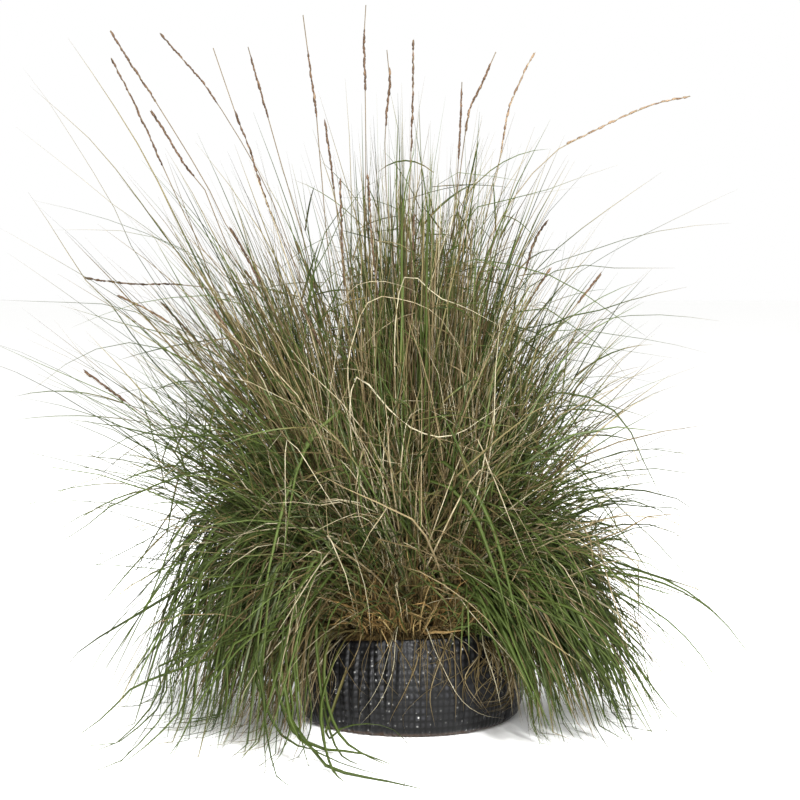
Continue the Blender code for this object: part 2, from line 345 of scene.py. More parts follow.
@dataclass(frozen=True)
class WovenTape:
    """Polypropylene tape, slit, drawn and woven: tough, black and slightly shiny.

    It gives the eye a dark lattice: painted shade darkens the gaps between the tapes, and a painted
    sheen and sharp small painted glints light the crossings' tops in patches. The mesh
    carries how high each point stands on the tapes, in the place of a blade's width.
    """

    name: str = "polypropylene_tape_woven"
    # painted shade: the near-black in the gaps between the tapes
    gap: str = "#050505"
    tape: str = "#121213"
    # painted sheen: the lighter grey on the crossings' tops, in patches
    crossing_sheen: str = "#313135"
    # painted glints: pale specks on the crossings' tops
    glint: str = "#b9b9b4"
    dirt: str = "#5a4029"
    roughness: float = 0.36
    # the size of the noise patches where the painted sheen and painted glints show
    sheen_patch_mm: float = 26.0
    glint_mm: float = 5.0
    scratch_mm: float = 1.1
    dirt_height: float = 0.006

    def build(self) -> bpy.types.Material:
        """Builds the node material."""
        made, tree = new_material(self.name)
        place = add_node(tree, "TexCoord").outputs["Object"]
        crossing = trait(tree, Trait.ACROSS)
        # noise patches where the painted sheen and painted glints show
        sheen_noise = add_node(
            tree, "TexNoise", {}, {"Vector": place, "Scale": 1000 / self.sheen_patch_mm, "Detail": 5.0}
        )
        sheen_patch = add_node(
            tree,
            "MapRange",
            {"interpolation_type": "SMOOTHSTEP"},
            {0: sheen_noise.outputs["Fac"], 1: 0.46, 2: 0.66, 3: 0.12, 4: 1.0},
        )
        # painted shade and sheen: near-black in the gaps between the tapes, lighter grey on the
        # crossings' tops
        tape = add_node(
            tree,
            "ValToRGB",
            {},
            {0: crossing},
            ((0.05, self.gap), (0.95, self.crossing_sheen), (0.45, self.tape)),
        )
        tape_sheen = add_node(
            tree,
            "Mix",
            {"data_type": "RGBA"},
            {0: sheen_patch.outputs[0], 6: linear(self.tape), 7: tape.outputs[0]},
        )
        # painted shade in the gaps between the tapes, everywhere on the weave
        gap_shade_mask = add_node(
            tree,
            "MapRange",
            {"interpolation_type": "SMOOTHSTEP"},
            {0: crossing, 1: 0.05, 2: 0.42, 3: 0.85, 4: 0.0},
        )
        lattice = add_node(
            tree,
            "Mix",
            {"data_type": "RGBA"},
            {0: gap_shade_mask.outputs[0], 6: tape_sheen.outputs[2], 7: linear(self.gap)},
        )
        # painted glints: pale specks on the crossings' tops, only in the sheen patches
        cells = add_node(
            tree,
            "TexVoronoi",
            {"feature": "F1"},
            {"Vector": place, "Scale": 1000 / self.glint_mm, "Randomness": 1.0},
        )
        speck = add_node(
            tree,
            "MapRange",
            {"interpolation_type": "SMOOTHSTEP"},
            {0: cells.outputs["Distance"], 1: 0.12, 2: 0.30, 3: 1.0, 4: 0.0},
        )
        high = add_node(
            tree,
            "MapRange",
            {"interpolation_type": "SMOOTHSTEP"},
            {0: crossing, 1: 0.30, 2: 0.70, 3: 0.0, 4: 0.9},
        )
        spark = add_node(
            tree, "Math", {"operation": "MULTIPLY"}, {0: speck.outputs[0], 1: high.outputs[0]}
        )
        spark = add_node(
            tree, "Math", {"operation": "MULTIPLY"}, {0: spark.outputs[0], 1: sheen_patch.outputs[0]}
        )
        sparked = add_node(
            tree,
            "Mix",
            {"data_type": "RGBA"},
            {0: spark.outputs[0], 6: lattice.outputs[2], 7: linear(self.glint)},
        )
        height = add_node(tree, "SeparateXYZ", {}, {0: place}).outputs[2]
        low = add_node(
            tree,
            "MapRange",
            {"interpolation_type": "SMOOTHSTEP"},
            {0: height, 1: 0.0, 2: self.dirt_height, 3: 0.9, 4: 0.0},
        )
        grime = add_node(
            tree, "TexNoise", {}, {"Vector": place, "Scale": 160.0, "Detail": 4.0}
        )
        soiled = add_node(
            tree,
            "Math",
            {"operation": "MULTIPLY"},
            {0: low.outputs[0], 1: grime.outputs["Fac"]},
        )
        colour = add_node(
            tree,
            "Mix",
            {"data_type": "RGBA"},
            {0: soiled.outputs[0], 6: sparked.outputs[2], 7: linear(self.dirt)},
        ).outputs[2]
        scratches = add_node(
            tree,
            "TexNoise",
            {},
            {"Vector": place, "Scale": 1000 / self.scratch_mm, "Detail": 2.0},
        )
        relief = add_node(
            tree,
            "Bump",
            {},
            {"Strength": 0.35, "Distance": 0.0004, "Height": scratches.outputs["Fac"]},
        )
        body = add_node(
            tree,
            "BsdfPrincipled",
            {},
            {
                "Base Color": colour,
                "Roughness": self.roughness,
                "IOR": 1.28,
                "Normal": relief.outputs[0],
            },
        )
        add_node(tree, "OutputMaterial", {}, {0: body.outputs[0]})
        return made


@dataclass(frozen=True)
class EarthyMatter:
    """Loose organic matter, such as potting mix or a mat of rotted leaf bases.

    It gives the eye dark, dull crumbs with lighter fibres among them.
    """

    name: str
    dark: str
    middle: str
    light: str
    crumb_mm: float
    roughness: float = 0.9

    def build(self) -> bpy.types.Material:
        """Builds the node material."""
        made, tree = new_material(self.name)
        place = add_node(tree, "TexCoord").outputs["Object"]
        crumbs = add_node(
            tree,
            "TexVoronoi",
            {"feature": "F1"},
            {"Vector": place, "Scale": 1000 / self.crumb_mm, "Randomness": 1.0},
        )
        mottle = add_node(
            tree,
            "TexNoise",
            {},
            {"Vector": place, "Scale": 1600 / self.crumb_mm, "Detail": 5.0},
        )
        colour = add_node(
            tree,
            "ValToRGB",
            {},
            {0: mottle.outputs["Fac"]},
            ((0.32, self.dark), (0.72, self.light), (0.52, self.middle)),
        ).outputs[0]
        height = add_node(
            tree,
            "Math",
            {"operation": "SUBTRACT"},
            {0: mottle.outputs["Fac"], 1: crumbs.outputs["Distance"]},
        )
        relief = add_node(
            tree, "Bump", {}, {"Strength": 0.8, "Distance": 0.002, "Height": height.outputs[0]}
        )
        body = add_node(
            tree,
            "BsdfPrincipled",
            {},
            {
                "Base Color": colour,
                "Roughness": self.roughness,
                "IOR": 1.22,
                "Normal": relief.outputs[0],
            },
        )
        add_node(tree, "OutputMaterial", {}, {0: body.outputs[0]})
        return made


LIVING = GrassBlade()
DEAD = DeadBlade()
SPIKE = DeadBlade(
    name="flower_spike_dried",
    cream="#84705a",
    tan="#604c3a",
    brown="#46372a",
    dark="#2b221a",
    rosy="#554436",
    roughness=0.8,
    blotch_mm=4.0,
    glow=0.05,
)
STEM = DeadBlade(
    name="flower_stem_dried",
    cream="#a0947a",
    tan="#7b6f55",
    brown="#564a35",
    dark="#30291b",
    rosy="#6c5f49",
    roughness=0.7,
    blotch_mm=12.0,
    glow=0.05,
)
THATCH = DeadBlade(
    name="leaf_bases_matted",
    cream="#b29c66",
    tan="#85704a",
    brown="#5a4a2c",
    dark="#40331a",
    rosy="#7f6339",
    roughness=0.85,
    blotch_mm=6.0,
    glow=0.05,
)


# The soft pot's form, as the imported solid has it


@dataclass(frozen=True)
class PotForm:
    """The soft pot's outside: its profile, its ripples, its sagging rim and its lifted edge."""

    height: float = 0.104
    rim: float = 0.119
    belly: float = 0.124
    belly_height: float = 0.055
    base: float = 0.118
    flat: float = 0.098
    corner: float = 0.010
    wall: float = 0.002
    ripple: float = 0.0016
    sag: float = 0.010
    sag_azimuth: float = math.radians(-140)
    sag_width: float = math.radians(34)
    lift: float = 0.008

    def radius(self, z: np.ndarray) -> np.ndarray:
        """The outer radius at a height, before the ripples."""
        up = (z - self.belly_height) / (self.height - self.belly_height)
        down = (self.belly_height - z) / (self.belly_height - self.corner)
        above = self.belly - (self.belly - self.rim) * up**2
        below = self.belly - (self.belly - self.base) * down**2
        turn = np.clip((self.corner - z) / self.corner, 0, 1)
        rounded = self.base - self.corner + self.corner * np.sqrt(1 - turn**2)
        return np.where(z > self.belly_height, above, np.where(z > self.corner, below, rounded))

    def soften(self, points: np.ndarray) -> np.ndarray:
        """Moves points of the plain turned form onto the rippled, sagging one.

        Args:
            points: the plain form's points, in an array whose last axis is x, y, z.

        Returns:
            The moved points.
        """
        x, y, z = points[..., 0], points[..., 1], points[..., 2]
        radius = np.hypot(x, y)
        azimuth = np.arctan2(y, x)
        rise = np.clip(z / self.height, 0, 1)
        outer = np.minimum(radius / self.belly, 1)
        wave = np.cos(5 * azimuth + 0.7) + 0.6 * np.cos(8 * azimuth + 2.1)
        grown = 1 + self.ripple * wave * np.sqrt(rise) * outer / self.belly
        away = (azimuth - self.sag_azimuth + math.pi) % (2 * math.pi) - math.pi
        sag = self.sag * np.exp(-((away / self.sag_width) ** 2)) * rise**3 * outer**4
        edge = np.maximum(0, (radius - self.flat) / (self.belly - self.flat))
        facing = np.maximum(0, np.cos(azimuth)) ** 2
        lift = self.lift * facing * edge**1.5 * (1 - rise) ** 2
        return np.stack([x * grown, y * grown, z - sag + lift], axis=-1)


@dataclass(frozen=True)
class CrownForm:
    """The domed mat of leaf bases on the soil."""

    base: float = 0.0843
    radius: float = 0.106
    height: float = 0.062

    def top(self, r: np.ndarray) -> np.ndarray:
        """The dome's height above the floor at a radius."""
        share = np.clip(1 - (r / self.radius) ** 2, 0, 1)
        return self.base + self.height * np.sqrt(share)


POT = PotForm()
CROWN = CrownForm()


# The photograph's camera


@dataclass(frozen=True)
class Viewpoint:
    """Where the photograph was taken from, as a camera with no shift."""

    place: tuple[float, float, float] = (-0.012, -2.4, 0.52)
    tilt: float = math.radians(4.25)  # how far it looks down
    focal: float = 2243.0  # in pixels of the frame
    sensor: float = 36.0

    def seen_at(self, across: float, down: float, depth: float) -> np.ndarray:
        """The point that shows at a pixel and lies at a depth.

        Args:
            across: pixels from the frame's left.
            down: pixels from the frame's top.
            depth: the point's y, in metres.

        Returns:
            The point.
        """
        forward = np.array([0, math.cos(self.tilt), -math.sin(self.tilt)])
        up = np.array([0, math.sin(self.tilt), math.cos(self.tilt)])
        right = np.array([1.0, 0, 0])
        half = PIXELS / 2
        ray = forward + right * (across - half) / self.focal - up * (down - half) / self.focal
        return np.array(self.place) + ray * (depth - self.place[1]) / ray[1]

    def on_pot(self, across: float, down: float, clear: float) -> np.ndarray:
        """The point that shows at a pixel and stands off the pot's near side.

        Args:
            across: pixels from the frame's left.
            down: pixels from the frame's top.
            clear: the gap to the pot's wall, in metres.

        Returns:
            The point.
        """
        depth = -POT.rim
        for _ in range(6):
            x, _, z = self.seen_at(across, down, depth)
            radius = float(POT.radius(np.clip(z, 0.002, POT.height))) + clear
            depth = -math.sqrt(max(radius**2 - x**2, 0.0))
        return self.seen_at(across, down, depth)


VIEW = Viewpoint()


# Blades


class Section(Enum):
    """A blade's closed cross-section, as (across, up) corners for a blade one wide."""

    KEELED = ((0.5, 0.0), (-0.5, 0.0), (0.0, -0.28))
    ROUND = ((0.5, 0.29), (-0.5, 0.29), (0.0, -0.58))
    FOLDED = ((0.5, 0.16), (0.0, 0.0), (-0.5, 0.16), (0.0, -0.10))


@dataclass
class Blades:
    """Blades with the same number of points, one row each."""

    points: np.ndarray  # (blades, points, 3)
    width: np.ndarray  # (blades, points)
    roll: np.ndarray  # (blades, points)
    tone: np.ndarray  # (blades,)
    dry: np.ndarray  # (blades,)
    section: Section = Section.KEELED

    def corners(self) -> np.ndarray:
        """The section's corners at every point, as (blades, points, corners, 3)."""
        path = self.points
        ahead = np.empty_like(path)
        ahead[:, 1:-1] = path[:, 2:] - path[:, :-2]
        ahead[:, 0] = path[:, 1] - path[:, 0]
        ahead[:, -1] = path[:, -1] - path[:, -2]
        ahead /= np.linalg.norm(ahead, axis=-1, keepdims=True) + 1e-12
        level = path[:, -1] - path[:, 0]
        heading = np.arctan2(level[:, 1], level[:, 0])
        side = np.stack([-np.sin(heading), np.cos(heading), np.zeros_like(heading)], axis=-1)
        side = np.repeat(side[:, None, :], path.shape[1], axis=1)
        side -= ahead * np.sum(side * ahead, axis=-1, keepdims=True)
        side /= np.linalg.norm(side, axis=-1, keepdims=True) + 1e-12
        up = np.cross(ahead, side)
        cosine, sine = np.cos(self.roll)[..., None], np.sin(self.roll)[..., None]
        side, up = side * cosine + up * sine, up * cosine - side * sine
        size = self.width[..., None]
        rings = [path + side * (x * size) + up * (y * size) for x, y in self.section.value]
        return np.stack(rings, axis=2)

    def faces(self) -> tuple[np.ndarray, np.ndarray]:
        """The blades' faces.

        Returns:
            The sides as quads and the end caps as triangles, by vertex index.
        """
        count, steps = self.points.shape[:2]
        corners = len(self.section.value)
        ring = np.arange(corners)
        after = (ring + 1) % corners
        start = np.arange(steps - 1)[:, None] * corners
        quads = np.stack(
            [start + ring, start + after, start + corners + after, start + corners + ring], -1
        ).reshape(-1, 4)
        last = (steps - 1) * corners
        caps = [(0, 2, 1), (last, last + 1, last + 2)]
        if corners == 4:
            caps = [
                (0, 3, 1),
                (1, 3, 2),
                (last, last + 1, last + 3),
                (last + 1, last + 2, last + 3),
            ]
        offset = (np.arange(count) * steps * corners)[:, None, None]
        return (quads + offset).reshape(-1, 4), (np.array(caps) + offset).reshape(-1, 3)

    def traits(self) -> dict[Trait, np.ndarray]:
        """Each trait's value at every vertex."""
        count, steps = self.points.shape[:2]
        corners = len(self.section.value)
        shape = (count, steps, corners)
        along = np.broadcast_to(np.linspace(0, 1, steps)[None, :, None], shape)
        across = np.array([2 * x for x, _ in self.section.value])
        return {
            Trait.ALONG: along.ravel(),
            Trait.ACROSS: np.broadcast_to(across, shape).ravel(),
            Trait.TONE: np.broadcast_to(self.tone[:, None, None], shape).ravel(),
            Trait.DRY: np.broadcast_to(self.dry[:, None, None], shape).ravel(),
        }


def blade_mesh(name: str, batches: list[Blades]) -> bpy.types.Mesh:
    """Makes one mesh of all the blades of a piece.

    Args:
        name: the mesh's name.
        batches: the blades, in groups with the same number of points.

    Returns:
        The mesh, with each trait as a point attribute.
    """
    points, quads, caps, base = [], [], [], 0
    for batch in batches:
        rings = batch.corners().reshape(-1, 3)
        sides, ends = batch.faces()
        points.append(rings)
        quads.append(sides + base)
        caps.append(ends + base)
        base += len(rings)
    co = np.concatenate(points).astype(np.float32)
    sides = np.concatenate(quads)
    ends = np.concatenate(caps)
    mesh = bpy.data.meshes.new(name)
    mesh.vertices.add(len(co))
    mesh.vertices.foreach_set("co", co.ravel())
    mesh.loops.add(sides.size + ends.size)
    mesh.loops.foreach_set("vertex_index", np.concatenate([sides.ravel(), ends.ravel()]))
    mesh.polygons.add(len(sides) + len(ends))
    starts = np.concatenate(
        [np.arange(len(sides)) * 4, sides.size + np.arange(len(ends)) * 3]
    )
    mesh.polygons.foreach_set("loop_start", starts)
    mesh.polygons.foreach_set("use_smooth", np.ones(len(starts), bool))
    for which in Trait:
        layer = mesh.attributes.new(which.value, "FLOAT", "POINT")
        values = np.concatenate([batch.traits()[which] for batch in batches])
        layer.data.foreach_set("value", values.astype(np.float32))
    mesh.update(calc_edges=True)
    mesh.validate()
    return mesh


def add_piece(
    name: str, mesh: bpy.types.Mesh, material: bpy.types.Material, slot: str, *nodes: str
) -> bpy.types.Object:
    """Puts a piece of the plant or pot in the scene, on its body.

    Args:
        name: the piece's name.
        mesh: its mesh.
        material: its finish.
        slot: the record's slot that the finish stands for; not used.
        *nodes: the CAD nodes that it replaces.

    Returns:
        The piece.
    """
    piece = bpy.data.objects.new(name, mesh)
    bpy.context.scene.collection.objects.link(piece)
    mesh.materials.clear()
    mesh.materials.append(material)
    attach(piece, BODY)
    if nodes:
        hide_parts(*nodes)
    LOG.info("%s: %d faces", name, len(mesh.polygons))
    return piece


def blade_width(full: np.ndarray, steps: int, neck: float) -> np.ndarray:
    """Blades' widths along their length, drawn out to a point.

    Args:
        full: each blade's full width.
        steps: how many points it has.
        neck: its width at the root, as a share.

    Returns:
        The widths, one row a blade.
    """
    s = np.linspace(0, 1, steps)
    share = np.minimum(neck + (1 - neck) * s / 0.22, 1) * (1 - s**2.6) ** 0.8
    return full[:, None] * np.maximum(share, 0.05)[None, :]


def keep_clear(point: np.ndarray, floor: np.ndarray) -> np.ndarray:
    """Moves points out of the pot, the mat of leaf bases and the floor, the shortest way.

    Args:
        point: the points, as (blades, 3).
        floor: each blade's own height above the floor where it lies on it.

    Returns:
        The moved points.
    """
    clear = 0.0022
    x, y, z = point[:, 0], point[:, 1], point[:, 2]
    radius = np.hypot(x, y) + 1e-9
    azimuth = np.arctan2(y, x)
    away = (azimuth - POT.sag_azimuth + math.pi) % (2 * math.pi) - math.pi
    brim = POT.height - POT.sag * np.exp(-((away / POT.sag_width) ** 2)) + clear
    lid = np.where(radius < CROWN.radius - 0.004, CROWN.top(radius) - 0.003, brim)
    wall = POT.radius(np.clip(z, 0.0, POT.height)) + clear + 0.0015
    below, inside = lid - z, wall - radius
    within = (below > 0) & (inside > 0) & (z < POT.height + clear)
    over = ((below > 0) & (radius < CROWN.radius)) | (within & (below < inside))
    out = within & ~over
    grown = np.where(out, wall / radius, 1.0)
    lifted = np.where(over, lid, z)
    return np.stack([x * grown, y * grown, np.maximum(lifted, floor)], axis=-1)


@dataclass(frozen=True)
class Growth:
    """A stand of tillers that grow alike. Angles are in degrees, lengths in metres."""

    tillers: int
    leaves: int  # in each tiller
    arc: tuple[float, float]  # azimuths between which it grows
    root: tuple[float, float]  # radii on the crown
    lean: tuple[float, float]  # from the vertical, at the inner and the outer root
    bend: tuple[float, float]  # how far the blade turns over by its tip
    length: tuple[float, float]
    width: tuple[float, float]
    power: float = 1.7  # 1 bends evenly, more bends later
    turn: tuple[float, float] = (0.0, 1.0)  # the shares of its length between which it bends
    fanning: float = 7.0  # how leaves of a tiller spread
    stray: float = 24.0  # how far a root lies from its blade's azimuth
    drift: float = 14.0  # how far a blade swings sideways
    wave: float = 2.0
    kink: float = 0.0
    steps: int = 10
    tone: tuple[float, float] = (0.15, 0.95)
    dry: float = 0.06  # the usual share that has dried
    twist: float = 60.0
    tilt: tuple[float, float] = (0.0, 0.0)  # a lean of the whole stand along x and y
    section: Section = Section.KEELED
    neck: float = 0.5
    clears_front: bool = True  # leaves the pot's front open to view
    hem: float = 1.0  # how far it ends above the floor beside the pot, as a share of HEM

    def grow(self, rng: np.random.Generator) -> Blades:
        """Grows the stand's blades from the crown, step by step.

        Args:
            rng: the source of its variation.

        Returns:
            The blades.
        """
        tillers, count = self.tillers, self.tillers * self.leaves
        share = np.sqrt(rng.uniform(0, 1, tillers))
        low, high = self.root
        root_radius = low + (high - low) * share
        azimuth_t = np.radians(rng.uniform(*self.arc, tillers))
        lean_t = self.lean[0] + (self.lean[1] - self.lean[0]) * share + rng.normal(0, 3, tillers)
        length_t = rng.uniform(*self.length, tillers)
        bend_t = rng.uniform(*self.bend, tillers)
        tone_t = rng.uniform(*self.tone, tillers)
        root_azimuth = azimuth_t + np.radians(rng.normal(0, self.stray, tillers))

        def each(values: np.ndarray, spread: float) -> np.ndarray:
            """Gives each leaf its tiller's value with some spread."""
            return np.repeat(values, self.leaves) + rng.normal(0, spread, count)

        azimuth = each(azimuth_t, math.radians(self.fanning))
        lean = np.radians(each(lean_t, self.fanning * 0.6))
        bend = np.radians(each(bend_t, 9.0))
        length = each(length_t, 0.0) * rng.uniform(0.72, 1.08, count)
        around = each(root_azimuth, 0.03)
        out = np.clip(each(root_radius, 0.003), 0.001, CROWN.radius * 0.985)
        drift = np.radians(rng.normal(0, self.drift, count))
        phase = rng.uniform(0, 2 * math.pi, (2, count))
        kink_at = rng.uniform(0.15, 0.85, count)
        kink = np.radians(rng.normal(0, 1, (2, count)) * self.kink)
        floor = rng.uniform(0.0008, 0.0045, count)
        point = np.stack(
            [out * np.cos(around), out * np.sin(around), CROWN.top(out) - 0.003], axis=-1
        )
        path = [point]
        stride = length / (self.steps - 1)
        wave = math.radians(self.wave)
        for step in range(1, self.steps):
            s = (step - 0.5) / (self.steps - 1)
            broken = s > kink_at
            bent = min(max((s - self.turn[0]) / (self.turn[1] - self.turn[0]), 0), 1)
            theta = lean + bend * bent**self.power + wave * np.sin(7 * s + phase[0])
            theta = np.clip(theta + kink[0] * broken, -3.0, 3.0)
            phi = azimuth + drift * s**1.4 + wave * np.sin(6 * s + phase[1]) + kink[1] * broken
            level = np.sin(theta)
            ahead = np.stack([level * np.cos(phi), level * np.sin(phi), np.cos(theta)], axis=-1)
            ahead[:, 0] += self.tilt[0]
            ahead[:, 1] += self.tilt[1]
            ahead[:, 2] = np.maximum(ahead[:, 2], -np.maximum(point[:, 2] - floor, 0) / LANDING)
            ahead /= np.linalg.norm(ahead, axis=-1, keepdims=True)
            moved = keep_clear(point + ahead * stride[:, None], floor)
            move = moved - point
            move *= (stride / (np.linalg.norm(move, axis=-1) + 1e-9))[:, None]
            point = keep_clear(point + move, floor)
            path.append(point)
        turn = np.radians(rng.normal(0, self.twist, (2, count)))
        s = np.linspace(0, 1, self.steps)
        roll = turn[0][:, None] * 0.5 + turn[1][:, None] * s[None, :]
        points = within_reach(np.stack(path, axis=1))
        points = hemmed(points, self.hem * rng.uniform(0.5, 1.2, count))
        width = blade_width(rng.uniform(*self.width, count), self.steps, self.neck)
        tone = np.clip(each(tone_t, 0.07), 0, 1)
        dry = np.clip(rng.exponential(self.dry, count), 0, 0.85)
        kept = np.ones(count, bool)
        if self.clears_front:
            kept = ~hides_pot(points)
        return Blades(points[kept], width[kept], roll[kept], tone[kept], dry[kept], self.section)


@dataclass(frozen=True)
class SideShoots:
    """Short leaves that branch off taller blades and cross them. Angles are in degrees."""

    share: float  # how many there are to each of the blades that bear them
    along: tuple[float, float] = (0.3, 0.8)  # where on its parent each starts
    angle: tuple[float, float] = (20, 75)  # off its parent
    length: tuple[float, float] = (0.04, 0.13)
    width: tuple[float, float] = (0.0011, 0.0021)
    droop: float = 0.9  # how strongly it turns down
    tone: tuple[float, float] = (0.0, 0.9)
    dry: float = 0.1
    steps: int = 7

    def grow(self, parents: Blades, rng: np.random.Generator) -> Blades:
        """Grows the leaves from points on their parents.

        Args:
            parents: the blades that carry them.
            rng: the source of their variation.

        Returns:
            The leaves.
        """
        count, last = int(len(parents.points) * self.share), parents.points.shape[1] - 1
        which = rng.integers(0, len(parents.points), count)
        place = rng.uniform(*self.along, count) * last
        step = np.minimum(place.astype(int), last - 1)
        start, end = parents.points[which, step], parents.points[which, step + 1]
        share = (place - step)[:, None]
        point = start + (end - start) * share
        ahead = end - start
        ahead /= np.linalg.norm(ahead, axis=-1, keepdims=True) + 1e-9
        side = np.cross(ahead, rng.normal(0, 1, (count, 3)))
        side /= np.linalg.norm(side, axis=-1, keepdims=True) + 1e-9
        angle = np.radians(rng.uniform(*self.angle, count))[:, None]
        ahead = ahead * np.cos(angle) + side * np.sin(angle)
        stride = rng.uniform(*self.length, count) / (self.steps - 1)
        droop = rng.uniform(0.1, 1, count) * self.droop / (self.steps - 1)
        path = [point]
        for _ in range(1, self.steps):
            ahead[:, 2] -= droop
            ahead /= np.linalg.norm(ahead, axis=-1, keepdims=True)
            point = keep_clear(point + ahead * stride[:, None], np.full(count, 0.002))
            path.append(point)
        points = np.stack(path, axis=1)
        low, high = np.array(CAD_BOX[0]) - REACH, np.array(CAD_BOX[1]) + REACH
        inside = ((points > low) & (points < high)).all(axis=(1, 2))
        kept = inside & ~hides_pot(points)
        roll = np.repeat(rng.uniform(-1, 1, (count, 1)), self.steps, axis=1)
        return Blades(
            points=points[kept],
            width=blade_width(rng.uniform(*self.width, count), self.steps, 0.7)[kept],
            roll=roll[kept],
            tone=rng.uniform(*self.tone, count)[kept],
            dry=np.clip(rng.exponential(self.dry, count), 0, 0.85)[kept],
        )


def hides_pot(points: np.ndarray) -> np.ndarray:
    """Tells which blades hang in front of the pot's open middle.

    Args:
        points: the blades' points, as (blades, points, 3).

    Returns:
        True for each blade that hangs there.
    """
    left, right = -0.104, 0.112
    x, y, z = points[..., 0], points[..., 1], points[..., 2]
    opening = np.where(x > 0, right - 0.55 * np.maximum(z - 0.05, 0), -left)
    return ((z < POT.height - 0.004) & (y < -0.05) & (np.abs(x) < opening)).any(axis=1)


def hemmed(points: np.ndarray, share: np.ndarray) -> np.ndarray:
    """Ends hanging blades at the clump's hem, which rises towards the pot and shows its wall.

    Args:
        points: the blades' points, as (blades, points, 3).
        share: each blade's share of the hem's height.

    Returns:
        The points, with each blade that hung lower shortened.
    """
    count, steps = points.shape[:2]
    height, fall = HEM
    radius = np.hypot(points[..., 0], points[..., 1])
    hem = np.maximum(height - fall * (radius - POT.base), 0) * share[:, None]
    low = points[..., 2] < hem
    low[:, :3] = False
    end = np.where(low.any(axis=1), low.argmax(axis=1), steps - 1)
    place = np.linspace(0, 1, steps)[None, :] * end[:, None]
    step = np.minimum(place.astype(int), steps - 2)
    part = (place - step)[..., None]
    row = np.arange(count)[:, None]
    return points[row, step] * (1 - part) + points[row, step + 1] * part


def within_reach(points: np.ndarray) -> np.ndarray:
    """Shortens the blades that would leave the solid model's box by more than they may.

    Args:
        points: the blades' points, as (blades, points, 3).

    Returns:
        The points, with each blade that was too long drawn in towards its root.
    """
    low = np.array(CAD_BOX[0]) - REACH
    high = np.array(CAD_BOX[1]) + REACH
    root = points[:, :1]
    offset = points - root
    over = np.maximum(offset / (high - root), offset / (low - root))
    over = over[..., :2].max(axis=(1, 2))
    rise = (offset[..., 2] / (high[2] - root[..., 2])).max(axis=1)
    share = 1 / np.maximum(np.maximum(over, rise), 1)
    return root + offset * share[:, None, None]


# Strands that are set one by one


def smooth_path(knots: np.ndarray, count: int) -> np.ndarray:
    """Points evenly spaced on a smooth curve through knots.

    Args:
        knots: the points to pass through, as (knots, 3).
        count: how many points to give.

    Returns:
        The points, as (count, 3).
    """
    ends = np.concatenate([[2 * knots[0] - knots[1]], knots, [2 * knots[-1] - knots[-2]]])
    fine = []
    for i in range(len(knots) - 1):
        a, b, c, d = ends[i : i + 4]
        t = np.linspace(0, 1, 24, endpoint=False)[:, None]
        fine.append(
            0.5
            * (
                2 * b
                + (c - a) * t
                + (2 * a - 5 * b + 4 * c - d) * t**2
                + (3 * b - a - 3 * c + d) * t**3
            )
        )
    fine.append(knots[-1:])
    curve = np.concatenate(fine)
    run = np.concatenate([[0], np.cumsum(np.linalg.norm(np.diff(curve, axis=0), axis=1))])
    wanted = np.linspace(0, run[-1], count)
    return np.stack([np.interp(wanted, run, curve[:, i]) for i in range(3)], axis=-1)


@dataclass(frozen=True)
class Sprig:
    """A strand that the photograph shows by itself, rooted on the crown.

    The pixels run from the strand's first sight to its tip. Depths are the y of the first and
    the last of them, and the root is where the strand leaves the crown.
    """

    pixels: tuple[tuple[float, float], ...]
    depth: tuple[float, float]
    width: float = 0.0022
    tone: float = 0.5
    dry: float = 0.05
    root: tuple[float, float] = (0.045, 0.0)  # radius, and azimuth in degrees off the strand's
    steps: int = 16
    taper: bool = True

    def path(self) -> np.ndarray:
        """The strand's points from its root to its tip."""
        shares = np.linspace(0, 1, len(self.pixels))
        seen = [
            VIEW.seen_at(*pixel, self.depth[0] + (self.depth[1] - self.depth[0]) * share)
            for pixel, share in zip(self.pixels, shares)
        ]
        heading = math.atan2(seen[0][1], seen[0][0]) + math.radians(self.root[1])
        radius = self.root[0]
        root = np.array(
            [
                radius * math.cos(heading),
                radius * math.sin(heading),
                float(CROWN.top(radius)) - 0.003,
            ]
        )
        path = smooth_path(np.array([root, *seen]), self.steps)
        path[:, 2] = np.maximum(path[:, 2], 0.003)
        return path


def sprig_blades(
    sprigs: tuple[Sprig, ...], rng: np.random.Generator, section: Section
) -> list[Blades]:
    """Makes a blade of each sprig.

    Args:
        sprigs: the strands, set one by one.
        rng: the source of their twist.
        section: their cross-section.

    Returns:
        The blades.
    """
    made = []
    for sprig in sprigs:
        full = np.array([sprig.width])
        width = blade_width(full, sprig.steps, 0.55)
        if not sprig.taper:
            width = np.full((1, sprig.steps), sprig.width)
        turn = np.radians(rng.normal(0, 40, 2))
        roll = turn[0] + turn[1] * np.linspace(0, 1, sprig.steps)
        made.append(
            Blades(
                points=within_reach(sprig.path()[None]),
                width=width,
                roll=roll[None],
                tone=np.array([sprig.tone]),
                dry=np.array([sprig.dry]),
                section=section,
            )
        )
    return made


